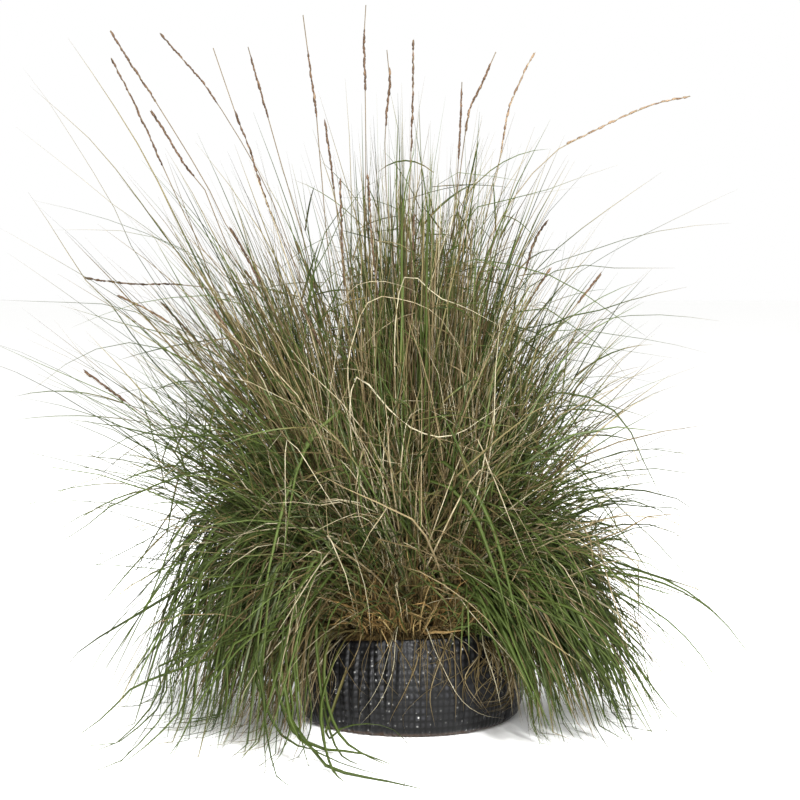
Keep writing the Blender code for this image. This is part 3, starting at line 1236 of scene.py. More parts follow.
@dataclass(frozen=True)
class Clinging:
    """A straw that comes over the pot's rim and lies down its wall, by its pixels."""

    pixels: tuple[tuple[float, float], ...]
    width: float = 0.0015
    tone: float = 0.6
    clear: tuple[float, float] = (0.0040, 0.0025)  # off the wall, at the rim and at the tip
    root_radius: float = 0.092
    steps: int = 16

    def blade(self, rng: np.random.Generator) -> Blades:
        """Makes the straw, from the crown over the rim and down.

        Args:
            rng: the source of its twist.

        Returns:
            The straw, as a blade of its own.
        """
        shares = np.linspace(0, 1, len(self.pixels))
        near, far = self.clear
        seen = [
            VIEW.on_pot(*pixel, near + (far - near) * share)
            for pixel, share in zip(self.pixels, shares)
        ]
        heading = math.atan2(seen[0][1], seen[0][0])
        root = np.array([math.cos(heading), math.sin(heading), 0]) * self.root_radius
        root[2] = float(CROWN.top(self.root_radius)) - 0.003
        path = smooth_path(np.array([root, *seen]), self.steps)
        path[:, 2] = np.maximum(path[:, 2], 0.0015)
        turn = rng.uniform(-0.6, 0.6, 2)
        roll = turn[0] + turn[1] * np.linspace(0, 1, self.steps)
        return Blades(
            points=path[None],
            width=blade_width(np.array([self.width]), self.steps, 0.8),
            roll=roll[None],
            tone=np.array([self.tone]),
            dry=np.zeros(1),
        )


# The long leaves that stand clear of the clump, left side first
OUTLIERS = (
    Sprig(
        ((340, 500), (213, 360), (138, 257), (110, 200), (50, 104), (23, 68)),
        (-0.02, 0.04), 0.0020, 0.3, 0.35,
    ),
    Sprig(((330, 470), (213, 300), (173, 247), (100, 150), (30, 86)), (0.02, 0.10), 0.0018, 0.4, 0.3),
    Sprig(
        ((330, 480), (250, 360), (200, 267), (167, 200), (143, 153), (107, 95), (68, 38)),
        (0.0, 0.02), 0.0023, 0.2, 0.4,
    ),
    Sprig(
        ((320, 440), (230, 310), (173, 247), (123, 213), (100, 193), (16, 127)),
        (-0.02, -0.06), 0.0019, 0.35, 0.3,
    ),
    Sprig(
        ((330, 430), (260, 320), (207, 260), (173, 245), (133, 228), (83, 212), (32, 200)),
        (-0.04, -0.08), 0.0030, 0.35, 0.1,
    ),
    Sprig(
        ((320, 440), (250, 320), (200, 262), (147, 235), (100, 230), (53, 230)),
        (0.0, 0.05), 0.0020, 0.5, 0.2,
    ),
    Sprig(
        ((320, 520), (167, 377), (110, 303), (83, 277), (57, 235), (28, 192)),
        (-0.03, 0.0), 0.0023, 0.2, 0.3,
    ),
    Sprig(
        ((320, 500), (220, 380), (133, 307), (82, 275), (53, 258), (0, 228)),
        (-0.02, -0.05), 0.0024, 0.2, 0.2,
    ),
    Sprig(((320, 520), (160, 363), (100, 317), (53, 283), (2, 248)), (0.03, 0.08), 0.0024, 0.25, 0.2),
    Sprig(
        ((320, 450), (240, 360), (160, 322), (110, 305), (50, 302), (0, 300)),
        (-0.02, 0.02), 0.0026, 0.35, 0.08,
    ),
    Sprig(((320, 460), (250, 380), (187, 340), (128, 325), (60, 305)), (-0.06, -0.10), 0.0027, 0.45, 0.1),
    Sprig(
        ((330, 400), (270, 320), (213, 297), (187, 296), (143, 302), (110, 312), (72, 327)),
        (-0.06, -0.10), 0.0031, 0.6, 0.05,
    ),
    Sprig(((320, 530), (200, 440), (130, 393), (77, 358), (25, 327)), (0.0, 0.03), 0.0022, 0.2, 0.2),
    Sprig(
        ((320, 470), (220, 380), (150, 345), (100, 348), (60, 368), (13, 408)),
        (-0.03, -0.06), 0.0023, 0.3, 0.15,
    ),
    Sprig(((320, 500), (240, 440), (167, 437), (123, 427), (65, 419)), (-0.08, -0.12), 0.0035, 0.4, 0.05),
    Sprig(((320, 500), (230, 430), (143, 433), (97, 457), (62, 492)), (-0.06, -0.10), 0.0032, 0.4, 0.05),
    Sprig(((320, 520), (220, 470), (123, 500), (83, 528), (40, 555)), (-0.05, -0.08), 0.0032, 0.5, 0.05),
    Sprig(
        ((320, 560), (240, 515), (180, 533), (133, 545), (67, 563), (3, 585)),
        (-0.02, -0.04), 0.0027, 0.4, 0.1,
    ),
    Sprig(
        ((320, 530), (200, 440), (150, 460), (113, 500), (70, 563), (40, 617)),
        (-0.06, -0.12), 0.0027, 0.5, 0.1,
    ),
    Sprig(
        ((320, 580), (230, 560), (173, 593), (133, 617), (83, 648), (62, 672)),
        (-0.08, -0.14), 0.0046, 0.12, 0.03,
    ),
    Sprig(
        ((330, 560), (250, 480), (185, 520), (150, 600), (125, 650), (107, 692)),
        (-0.10, -0.15), 0.0035, 0.5, 0.05,
    ),
    # the right side
    Sprig(
        ((440, 480), (500, 320), (543, 263), (580, 230), (617, 203), (662, 172)),
        (0.0, 0.06), 0.0020, 0.25, 0.25,
    ),
    Sprig(
        ((445, 480), (520, 340), (567, 283), (587, 267), (633, 240), (687, 213), (738, 189)),
        (-0.02, -0.02), 0.0023, 0.3, 0.2,
    ),
    Sprig(
        ((445, 470), (500, 310), (540, 270), (587, 252), (633, 237), (683, 227), (731, 223)),
        (0.0, 0.02), 0.0022, 0.4, 0.2,
    ),
    Sprig(
        ((430, 420), (455, 240), (487, 203), (527, 197), (567, 182), (618, 165)),
        (-0.04, -0.06), 0.0024, 0.5, 0.15,
    ),
    Sprig(((430, 420), (460, 260), (500, 205), (543, 193), (580, 187)), (0.02, 0.05), 0.0024, 0.4, 0.15),
    Sprig(((450, 480), (520, 300), (577, 267), (613, 268), (675, 268)), (0.04, 0.08), 0.0022, 0.4, 0.15),
    Sprig(
        ((425, 420), (435, 290), (453, 260), (493, 262), (527, 268), (567, 283), (607, 310), (647, 337)),
        (-0.08, -0.12), 0.0032, 0.6, 0.03,
    ),
    Sprig(
        ((450, 480), (530, 340), (607, 308), (650, 295), (687, 287)),
        (-0.04, -0.08), 0.0024, 0.4, 0.15,
    ),
    Sprig(
        ((450, 490), (520, 370), (580, 328), (617, 317), (667, 315), (719, 321)),
        (0.0, 0.03), 0.0024, 0.4, 0.1,
    ),
    Sprig(
        ((450, 470), (510, 350), (567, 330), (617, 335), (667, 343), (707, 353)),
        (-0.06, -0.10), 0.0026, 0.5, 0.1,
    ),
    Sprig(((450, 480), (520, 370), (587, 347), (633, 352), (680, 359)), (-0.02, -0.05), 0.0024, 0.5, 0.1),
    Sprig(
        ((450, 500), (520, 400), (580, 378), (623, 377), (660, 384)),
        (-0.10, -0.14), 0.0032, 0.3, 0.05,
    ),
    Sprig(((440, 440), (520, 310), (587, 337), (613, 360), (638, 390)), (-0.04, -0.08), 0.0024, 0.4, 0.1),
    Sprig(((450, 520), (530, 420), (595, 405), (630, 412), (655, 420)), (-0.02, -0.04), 0.0027, 0.4, 0.1),
    Sprig(
        ((450, 520), (540, 400), (613, 410), (643, 460), (667, 510)),
        (-0.04, -0.08), 0.0030, 0.4, 0.05,
    ),
    Sprig(
        ((440, 540), (540, 450), (600, 490), (633, 520), (667, 553), (700, 593), (735, 637)),
        (-0.06, -0.02), 0.0038, 0.35, 0.05,
    ),
    Sprig(
        ((445, 560), (560, 480), (620, 530), (660, 590), (703, 642)),
        (-0.08, -0.10), 0.0030, 0.45, 0.05,
    ),
    # over the top
    Sprig(
        ((425, 420), (432, 260), (437, 190), (443, 175), (450, 172), (490, 176), (527, 182)),
        (-0.06, -0.12), 0.0035, 0.7, 0.05,
    ),
    Sprig(
        ((405, 420), (402, 280), (403, 200), (408, 175), (415, 148)),
        (-0.08, -0.10), 0.0062, 0.65, 0.0,
    ),
    Sprig(((400, 400), (398, 250), (396, 180), (398, 130), (391, 95)), (-0.02, -0.04), 0.0032, 0.6, 0.1),
    Sprig(((420, 420), (412, 260), (415, 160), (419, 110), (425, 76)), (0.0, 0.03), 0.0030, 0.3, 0.15),
    Sprig(
        ((300, 440), (310, 300), (322, 240), (337, 215), (345, 210), (362, 225)),
        (-0.05, -0.09), 0.0032, 0.5, 0.05,
    ),
    Sprig(
        ((400, 430), (320, 330), (305, 288), (318, 268), (352, 200), (390, 172)),
        (-0.08, -0.10), 0.0027, 0.4, 0.05,
    ),
)

# The broad leaves that hang at the front
BROAD_LEAVES = (
    Sprig(
        ((345, 470), (322, 420), (300, 460), (285, 500), (277, 533), (263, 600), (257, 660)),
        (-0.10, -0.20), 0.0046, 0.75,
    ),
    Sprig(
        ((372, 560), (350, 543), (330, 562), (317, 587), (300, 640), (287, 700)),
        (-0.12, -0.20), 0.0050, 0.6,
    ),
    Sprig(
        ((350, 430), (331, 417), (312, 440), (298, 467), (288, 520), (280, 590)),
        (-0.12, -0.19), 0.0044, 0.7,
    ),
    Sprig(((360, 600), (325, 590), (316, 633), (320, 683), (325, 743)), (-0.13, -0.18), 0.0040, 0.5),
    Sprig(
        ((352, 590), (312, 575), (298, 610), (296, 650), (300, 700), (308, 735)),
        (-0.12, -0.20), 0.0036, 0.8,
    ),
    Sprig(
        ((405, 520), (430, 482), (453, 490), (473, 513), (487, 547), (500, 587), (512, 640)),
        (-0.12, -0.20), 0.0060, 0.5,
    ),
    Sprig(
        ((405, 500), (425, 460), (452, 468), (480, 500), (500, 550), (515, 610), (530, 660)),
        (-0.10, -0.20), 0.0056, 0.45,
    ),
    Sprig(
        ((400, 590), (407, 573), (450, 573), (477, 587), (510, 633), (533, 677), (548, 740)),
        (-0.13, -0.20), 0.0054, 0.45,
    ),
    Sprig(
        ((415, 560), (440, 540), (480, 560), (515, 600), (545, 660), (567, 720), (600, 758)),
        (-0.12, -0.24), 0.0054, 0.4,
    ),
    Sprig(
        ((420, 560), (450, 515), (500, 530), (545, 590), (580, 660), (607, 720), (637, 765)),
        (-0.12, -0.24), 0.0052, 0.5,
    ),
    Sprig(
        ((430, 540), (470, 490), (530, 510), (590, 590), (630, 660), (660, 720), (690, 771)),
        (-0.10, -0.24), 0.0050, 0.45,
    ),
    Sprig(
        ((425, 540), (460, 500), (520, 520), (575, 590), (615, 660), (640, 710), (665, 757)),
        (-0.08, -0.22), 0.0048, 0.55,
    ),
    Sprig(
        ((410, 590), (440, 582), (475, 596), (500, 625), (518, 660), (530, 700)),
        (-0.13, -0.19), 0.0050, 0.65,
    ),
)

# The leaves that lie along the floor, left to right
TRAILING = (
    Sprig(((150, 680), (110, 712), (86, 730), (63, 745)), (-0.16, -0.20), 0.0036, 0.5, 0.05, (0.09, 0.0)),
    Sprig(
        ((170, 660), (160, 693), (133, 728), (110, 745), (68, 743)),
        (-0.16, -0.20), 0.0036, 0.5, 0.05, (0.09, 0.0),
    ),
    Sprig(
        ((180, 660), (165, 700), (125, 738), (98, 750), (80, 755)),
        (-0.16, -0.22), 0.0034, 0.4, 0.05, (0.09, 0.0),
    ),
    Sprig(
        ((185, 650), (173, 700), (140, 743), (110, 768), (77, 777)),
        (-0.18, -0.28), 0.0038, 0.45, 0.05, (0.09, 0.0),
    ),
    Sprig(
        ((190, 650), (157, 710), (133, 747), (113, 770), (85, 791)),
        (-0.18, -0.30), 0.0042, 0.3, 0.05, (0.09, 0.0),
    ),
    Sprig(
        ((200, 650), (180, 710), (150, 742), (128, 760), (110, 763)),
        (-0.18, -0.26), 0.0036, 0.6, 0.05, (0.09, 0.0),
    ),
    Sprig(
        ((215, 640), (195, 700), (187, 728), (172, 752), (158, 768)),
        (-0.18, -0.27), 0.0036, 0.4, 0.05, (0.09, 0.0),
    ),
    Sprig(
        ((225, 640), (205, 700), (200, 730), (188, 757)),
        (-0.19, -0.25), 0.0034, 0.5, 0.05, (0.09, 0.0),
    ),
    Sprig(
        ((240, 640), (228, 700), (220, 735), (216, 757)),
        (-0.20, -0.26), 0.0034, 0.5, 0.05, (0.09, 0.0),
    ),
    Sprig(
        ((262, 640), (263, 690), (267, 733), (277, 777), (296, 801)),
        (-0.18, -0.34), 0.0038, 0.35, 0.05, (0.09, 0.0),
    ),
    Sprig(
        ((268, 640), (265, 700), (264, 745), (266, 770), (262, 778)),
        (-0.18, -0.29), 0.0034, 0.3, 0.05, (0.09, 0.0),
    ),
    Sprig(
        ((290, 640), (293, 710), (283, 750), (262, 778)),
        (-0.17, -0.28), 0.0040, 0.6, 0.05, (0.09, 0.0),
    ),
    Sprig(
        ((275, 650), (280, 700), (300, 733), (327, 767), (360, 787), (400, 795), (432, 798)),
        (-0.17, -0.35), 0.0052, 0.4, 0.05, (0.09, 0.0),
    ),
    Sprig(
        ((285, 640), (287, 700), (300, 740), (345, 765), (400, 780), (404, 791)),
        (-0.17, -0.34), 0.0044, 0.5, 0.05, (0.09, 0.0),
    ),
    Sprig(
        ((280, 650), (287, 720), (317, 747), (360, 753), (400, 768)),
        (-0.16, -0.29), 0.0048, 0.45, 0.05, (0.09, 0.0),
    ),
    Sprig(
        ((262, 660), (270, 715), (290, 742), (325, 752), (350, 753)),
        (-0.17, -0.24), 0.0040, 0.35, 0.05, (0.09, 0.0),
    ),
    Sprig(
        ((330, 640), (325, 690), (340, 735), (365, 755), (395, 768)),
        (-0.14, -0.27), 0.0040, 0.5, 0.05, (0.095, 0.0),
    ),
    Sprig(
        ((345, 640), (322, 700), (325, 745), (335, 775), (350, 800)),
        (-0.14, -0.33), 0.0042, 0.6, 0.05, (0.095, 0.0),
    ),
    Sprig(
        ((300, 640), (297, 700), (302, 742), (312, 777)),
        (-0.15, -0.30), 0.0032, 0.45, 0.05, (0.095, 0.0),
    ),
    Sprig(
        ((310, 650), (312, 720), (300, 755), (278, 770), (245, 776)),
        (-0.15, -0.27), 0.0032, 0.5, 0.05, (0.095, 0.0),
    ),
    Sprig(
        ((320, 640), (323, 700), (335, 745), (350, 762), (366, 765)),
        (-0.14, -0.26), 0.0034, 0.4, 0.05, (0.095, 0.0),
    ),
    Sprig(
        ((325, 735), (345, 727), (370, 724), (392, 729), (406, 742), (421, 763)),
        (-0.135, -0.24), 0.0036, 0.45, 0.05, (0.1, 0.0),
    ),
)

# The pale curved straws that catch the light at the front
CREAM_STRAWS = (
    Sprig(
        (
            (360, 480), (350, 420), (354, 380), (367, 383), (385, 405), (405, 424), (425, 434),
            (440, 437), (460, 433), (480, 420), (505, 402), (521, 379),
        ),
        (-0.15, -0.17), 0.0024, 0.98, steps=34,
    ),
    Sprig(
        (
            (350, 400), (356, 330), (372, 299), (400, 299), (425, 307), (440, 318), (452, 335),
            (475, 370), (482, 390),
        ),
        (-0.14, -0.16), 0.0017, 0.9, steps=32,
    ),
    Sprig(
        ((395, 380), (398, 300), (409, 274), (430, 290), (442, 299), (462, 306), (480, 315), (500, 326)),
        (-0.13, -0.15), 0.0022, 0.98, steps=30,
    ),
    Sprig(
        ((400, 500), (405, 430), (413, 413), (425, 409), (445, 418), (465, 432), (478, 440)),
        (-0.15, -0.16), 0.0019, 0.92, steps=30,
    ),
    Sprig(
        ((310, 520), (330, 480), (350, 486), (370, 478), (405, 472)),
        (-0.15, -0.16), 0.0018, 0.9, steps=24,
    ),
    Sprig(
        ((360, 520), (362, 470), (375, 459), (400, 464), (427, 463)),
        (-0.15, -0.16), 0.0018, 0.92, steps=24,
    ),
    Sprig(
        (
            (330, 460), (336, 350), (343, 303), (352, 289), (362, 283), (380, 281), (395, 284),
            (408, 288), (425, 297),
        ),
        (-0.13, -0.15), 0.0022, 0.94, steps=32,
    ),
    Sprig(
        ((330, 500), (290, 440), (285, 470), (286, 520), (283, 560)),
        (-0.16, -0.18), 0.0020, 0.98, steps=26,
    ),
    Sprig(
        ((430, 540), (470, 440), (490, 470), (510, 520), (530, 570)),
        (-0.15, -0.18), 0.0020, 0.9, steps=26,
    ),
    Sprig(
        ((430, 560), (480, 470), (515, 510), (550, 580), (575, 650)),
        (-0.15, -0.20), 0.0020, 0.85, steps=26,
    ),
    Sprig(
        ((415, 520), (420, 455), (432, 438), (460, 445), (490, 455), (515, 450), (530, 445)),
        (-0.15, -0.16), 0.0018, 0.75, steps=28,
    ),
    Sprig(
        ((385, 520), (384, 440), (390, 415), (397, 445), (405, 480)),
        (-0.15, -0.16), 0.0018, 0.95, steps=24,
    ),
    Sprig(
        ((470, 520), (490, 430), (502, 404), (515, 418), (530, 440), (538, 455)),
        (-0.14, -0.16), 0.0018, 0.9, steps=26,
    ),
)

# The straws that lie down the pot's front
ON_POT = (
    Clinging(((397, 628), (395, 644), (392, 673), (379, 703), (360, 725)), 0.0021, 1.0),
    Clinging(((392, 640), (381, 679), (370, 700), (360, 714), (359, 728)), 0.0018, 0.95),
    Clinging(((328, 640), (335, 648), (344, 666), (359, 689), (372, 698)), 0.0013, 0.5),
    Clinging(((362, 634), (359, 646), (354, 658), (338, 689)), 0.0014, 0.65),
    Clinging(((371, 634), (370, 642), (365, 668), (360, 690), (358, 712)), 0.0013, 0.55),
    Clinging(((381, 632), (382, 655), (382, 673), (379, 690)), 0.0012, 0.5),
    Clinging(((427, 628), (432, 643), (440, 661), (459, 697), (481, 714), (508, 719)), 0.0016, 0.98),
    Clinging(((447, 629), (455, 636), (470, 646), (504, 679), (522, 694)), 0.0020, 0.85),
    Clinging(((452, 629), (449, 640), (440, 661), (430, 695), (435, 727)), 0.0017, 0.7),
    Clinging(((480, 650), (462, 671), (430, 689), (405, 712), (403, 724), (407, 735)), 0.0015, 0.45),
    Clinging(((431, 628), (426, 640), (418, 657), (410, 681)), 0.0014, 0.6),
    Clinging(((418, 657), (406, 689), (392, 716), (389, 726)), 0.0013, 0.6),
    Clinging(((438, 628), (449, 649), (459, 669), (469, 695), (486, 714)), 0.0016, 0.75),
    Clinging(((461, 629), (461, 645), (461, 666), (467, 704)), 0.0012, 0.5),
    Clinging(((452, 632), (455, 660), (456, 700), (455, 722)), 0.0012, 0.6),
    Clinging(((390, 632), (400, 650), (412, 670), (420, 696)), 0.0011, 0.5),
    Clinging(((414, 640), (432, 655), (452, 690), (458, 708)), 0.0010, 0.45),
    Clinging(((330, 640), (333, 660), (330, 690), (330, 722)), 0.0014, 0.7),
    Clinging(((320, 645), (322, 670), (327, 700), (336, 726)), 0.0015, 0.8),
    Clinging(((316, 650), (312, 675), (314, 700), (322, 722)), 0.0014, 0.6),
    Clinging(((497, 642), (505, 660), (512, 690), (500, 716)), 0.0014, 0.6),
    Clinging(((470, 634), (480, 652), (476, 690), (492, 718)), 0.0014, 0.7),
    Clinging(((510, 648), (498, 670), (478, 690), (470, 706)), 0.0014, 0.7),
)


def edge_straws(rng: np.random.Generator) -> list[Clinging]:
    """The mats of straws at the two edges of the pot's front and at its lower right corner.

    Args:
        rng: the source of their places.

    Returns:
        The straws.
    """
    made = []
    for _ in range(26):
        across = rng.uniform(300, 330)
        low = rng.uniform(676, 724)
        swing = rng.normal(0, 4, 2) + (330 - across) * 0.2
        path = ((across, 655), (across + swing[0], (655 + low) / 2), (across + swing[1], low))
        made.append(Clinging(path, rng.uniform(0.0012, 0.0022), rng.uniform(0.3, 1)))
    for _ in range(34):
        across = rng.uniform(478, 514)
        low = rng.uniform(672, 714)
        swing = rng.normal(0, 10, 2)
        path = ((across, 648), (across + swing[0], (648 + low) / 2), (across + swing[1], low))
        made.append(Clinging(path, rng.uniform(0.0011, 0.0019), rng.uniform(0.2, 1)))
    for _ in range(16):
        across, down = rng.uniform(474, 498), rng.uniform(700, 718)
        rise = rng.uniform(10, 50)
        path = ((512, down - rise), (507, down - 8), (across, down))
        made.append(Clinging(path, rng.uniform(0.0011, 0.0018), rng.uniform(0.2, 0.9)))
    for _ in range(14):
        across = rng.uniform(335, 480)
        swing = rng.normal(0, 12, 2)
        low = rng.uniform(655, 710)
        path = ((across, 644), (across + swing[0], (644 + low) / 2), (across + swing[1], low))
        made.append(Clinging(path, rng.uniform(0.0009, 0.0014), rng.uniform(0.2, 0.8)))
    return made


# The clump


def numbered(stem: str, count: int) -> tuple[str, ...]:
    """The names of a row of like CAD nodes."""
    return tuple(f"{stem}_{i:02d}" for i in range(1, count + 1))


@dataclass
class Foliage:
    """The living and the dead leaves, in pieces by how they grow."""

    seed: int = 11
    living: bpy.types.Material = field(default_factory=LIVING.build)
    dead: bpy.types.Material = field(default_factory=DEAD.build)

    def stand(
        self,
        name: str,
        growths: tuple[Growth, ...],
        dead: bool,
        nodes: tuple[str, ...] = (),
        extra: list[Blades] | None = None,
        shoots: SideShoots | None = None,
    ) -> None:
        """Grows one piece.

        Args:
            name: the piece's name.
            growths: the stands that make it up.
            dead: whether its leaves are dead.
            nodes: the CAD nodes that it replaces.
            extra: blades that were set one by one.
            shoots: the short leaves that branch off each of its stands.
        """
        self.seed += 1
        rng = np.random.default_rng(self.seed)
        batches = [growth.grow(rng) for growth in growths]
        if shoots:
            batches += [shoots.grow(batch, rng) for batch in batches]
        batches += extra or []
        material, slot = (self.dead, "dry_leaf") if dead else (self.living, "green_leaf")
        add_piece(name, blade_mesh(name, batches), material, slot, *nodes)

    def core(self) -> None:
        """The upright middle, a mix of green blades and straws."""
        inner = numbered("upright_leaf_tuft", 4) + numbered("inner_leaf_tuft", 7)
        green = (
            Growth(150, 4, (-110, 150), (0.0, 0.05), (0, 8), (4, 20), (0.35, 0.51),
                   (0.0016, 0.0032), tilt=(-0.02, 0), stray=70, fanning=7, steps=8, wave=4,
                   kink=9, tone=(0.0, 0.9), dry=0.16),
            Growth(140, 4, (-180, 180), (0.03, 0.09), (6, 24), (14, 46), (0.27, 0.38),
                   (0.0017, 0.0036), tilt=(-0.12, 0), stray=40, fanning=11, steps=8, wave=5,
                   drift=26, kink=12, tone=(0.0, 0.9), dry=0.16),
        )
        shoots = SideShoots(1.5, (0.3, 0.85), (20, 95), (0.035, 0.11), (0.0014, 0.0029), 1.2)
        self.stand("core_leaves", green, False, inner, shoots=shoots)
        straw = (
            Growth(180, 3, (-120, 150), (0.0, 0.055), (0, 9), (4, 18), (0.33, 0.51),
                   (0.0011, 0.0023), tilt=(-0.04, 0), stray=70, fanning=5, tone=(0.0, 1.0),
                   steps=8, wave=4, kink=6),
            Growth(130, 3, (-150, -30), (0.05, 0.104), (0, 16), (4, 34), (0.10, 0.40),
                   (0.0010, 0.0022), tilt=(-0.04, 0), stray=34, fanning=6, tone=(0.1, 1.0),
                   steps=8, wave=4, kink=10),
            Growth(110, 3, (-180, 180), (0.03, 0.09), (8, 26), (10, 46), (0.26, 0.38),
                   (0.0012, 0.0026), tilt=(-0.11, 0), stray=34, fanning=10, tone=(0.0, 0.95),
                   steps=8, wave=5, kink=12, drift=20),
        )
        shoots = SideShoots(0.5, (0.3, 0.85), (20, 95), (0.03, 0.09), (0.0010, 0.0019), 1.2)
        self.stand("core_straws", straw, True, shoots=shoots)

    def fan(self) -> None:
        """The long, nearly straight leaves that stand out of the clump."""
        nodes = numbered("fan_leaf_tuft", 9)
        green = (
            Growth(36, 4, (140, 220), (0.03, 0.07), (11, 27), (4, 30), (0.33, 0.45),
                   (0.0014, 0.0028), fanning=9, drift=12, steps=9, dry=0.2, tone=(0.0, 0.8),
                   kink=9, wave=4),
            Growth(34, 4, (150, 210), (0.03, 0.06), (14, 23), (4, 16), (0.41, 0.51),
                   (0.0014, 0.0024), fanning=8, drift=10, steps=10, dry=0.2, tone=(0.0, 0.8),
                   kink=7, wave=3),
            Growth(14, 4, (-40, 40), (0.02, 0.06), (6, 18), (10, 36), (0.32, 0.44),
                   (0.0013, 0.0024), fanning=7, drift=12, steps=9, dry=0.12, tone=(0.0, 0.8),
                   kink=6, wave=3),
            Growth(16, 4, (145, 215), (0.03, 0.08), (32, 46), (6, 30), (0.33, 0.44),
                   (0.0013, 0.0024), fanning=8, drift=12, steps=9, dry=0.2, tone=(0.0, 0.8),
                   kink=9, wave=4),
            Growth(22, 3, (125, 235), (0.02, 0.075), (26, 60), (4, 30), (0.38, 0.50),
                   (0.0012, 0.0020), fanning=7, drift=10, steps=11, dry=0.12, tone=(0.0, 0.8),
                   kink=6, wave=3),
            Growth(6, 3, (-55, 45), (0.02, 0.075), (14, 40), (24, 78), (0.30, 0.40),
                   (0.0012, 0.0020), fanning=7, drift=10, steps=11, dry=0.12, tone=(0.0, 0.8)),
            Growth(26, 4, (55, 125), (0.02, 0.075), (12, 44), (8, 60), (0.34, 0.48),
                   (0.0012, 0.0021), fanning=7, drift=10, steps=11, dry=0.12, tone=(0.0, 0.8),
                   kink=6, wave=3),
            Growth(8, 3, (-125, -55), (0.02, 0.06), (8, 24), (8, 40), (0.30, 0.44),
                   (0.0012, 0.0021), fanning=6, drift=8, steps=11, dry=0.12, tone=(0.0, 0.8)),
        )
        outliers = sprig_blades(OUTLIERS, np.random.default_rng(2), Section.KEELED)
        shoots = SideShoots(0.8, (0.25, 0.7), (20, 70), (0.06, 0.15), (0.0013, 0.0024), 0.8)
        self.stand("fan_leaves", green, False, nodes, outliers, shoots)
        straw = (
            Growth(60, 3, (145, 215), (0.03, 0.07), (13, 27), (4, 22), (0.34, 0.50),
                   (0.0013, 0.0023), fanning=8, drift=9, steps=9, tone=(0.0, 0.8), kink=8),
            Growth(14, 3, (-40, 40), (0.02, 0.06), (6, 20), (10, 36), (0.30, 0.42),
                   (0.0011, 0.0019), fanning=7, drift=9, steps=9, tone=(0.0, 0.7), kink=6),
            Growth(22, 3, (55, 125), (0.02, 0.075), (8, 40), (10, 50), (0.30, 0.46),
                   (0.0011, 0.0019), fanning=7, drift=9, steps=9, tone=(0.0, 0.7), kink=6),
        )
        shoots = SideShoots(0.35, (0.3, 0.75), (15, 60), (0.04, 0.10), (0.0010, 0.0017))
        self.stand("fan_straws", straw, True, shoots=shoots)

    def arching(self) -> None:
        """The green mass, whose leaves rise and turn over."""
        nodes = numbered("arching_leaf_tuft", 10)
        left = (
            Growth(140, 4, (100, 250), (0.03, 0.10), (10, 36), (30, 95), (0.19, 0.29),
                   (0.0017, 0.0038), steps=9, wave=8, kink=16, fanning=14, drift=42, stray=50,
                   tone=(0.0, 0.95)),
            Growth(60, 4, (105, 245), (0.05, 0.104), (30, 54), (50, 115), (0.11, 0.18),
                   (0.0018, 0.0036), steps=9, wave=8, kink=16, fanning=14, drift=40,
                   tone=(0.0, 0.95)),
            Growth(24, 3, (130, 230), (0.03, 0.10), (30, 66), (10, 60), (0.26, 0.38),
                   (0.0014, 0.0024), steps=10, wave=4, fanning=11, drift=20, tone=(0.0, 0.95)),
        )
        shoots = SideShoots(0.9, (0.25, 0.75), (25, 95), (0.04, 0.12), (0.0014, 0.0026), 1.0)
        self.stand("arching_leaves_left", left, False, nodes, shoots=shoots)
        right = (
            Growth(70, 4, (-70, 100), (0.02, 0.05), (4, 13), (36, 90), (0.19, 0.26),
                   (0.0016, 0.0034), steps=9, wave=8, kink=16, fanning=13, drift=34, stray=40,
                   tone=(0.0, 0.95)),
            Growth(90, 4, (-66, 95), (0.05, 0.104), (8, 24), (96, 150), (0.16, 0.25),
                   (0.0018, 0.0038), power=1.3, steps=10, wave=7, kink=14, fanning=13, drift=34,
                   tone=(0.0, 0.95)),
            Growth(26, 4, (-48, 60), (0.05, 0.10), (22, 36), (60, 92), (0.23, 0.31),
                   (0.0018, 0.0034), steps=10, wave=6, kink=10, fanning=11, drift=20,
                   tone=(0.0, 0.95)),
            Growth(36, 4, (-58, 95), (0.06, 0.104), (34, 60), (60, 115), (0.09, 0.15),
                   (0.0018, 0.0038), steps=9, wave=7, kink=16, fanning=13, drift=34,
                   tone=(0.0, 0.95)),
        )
        shoots = SideShoots(0.9, (0.25, 0.75), (25, 95), (0.03, 0.09), (0.0014, 0.0028), 1.6)
        self.stand("arching_leaves_right", right, False, shoots=shoots)

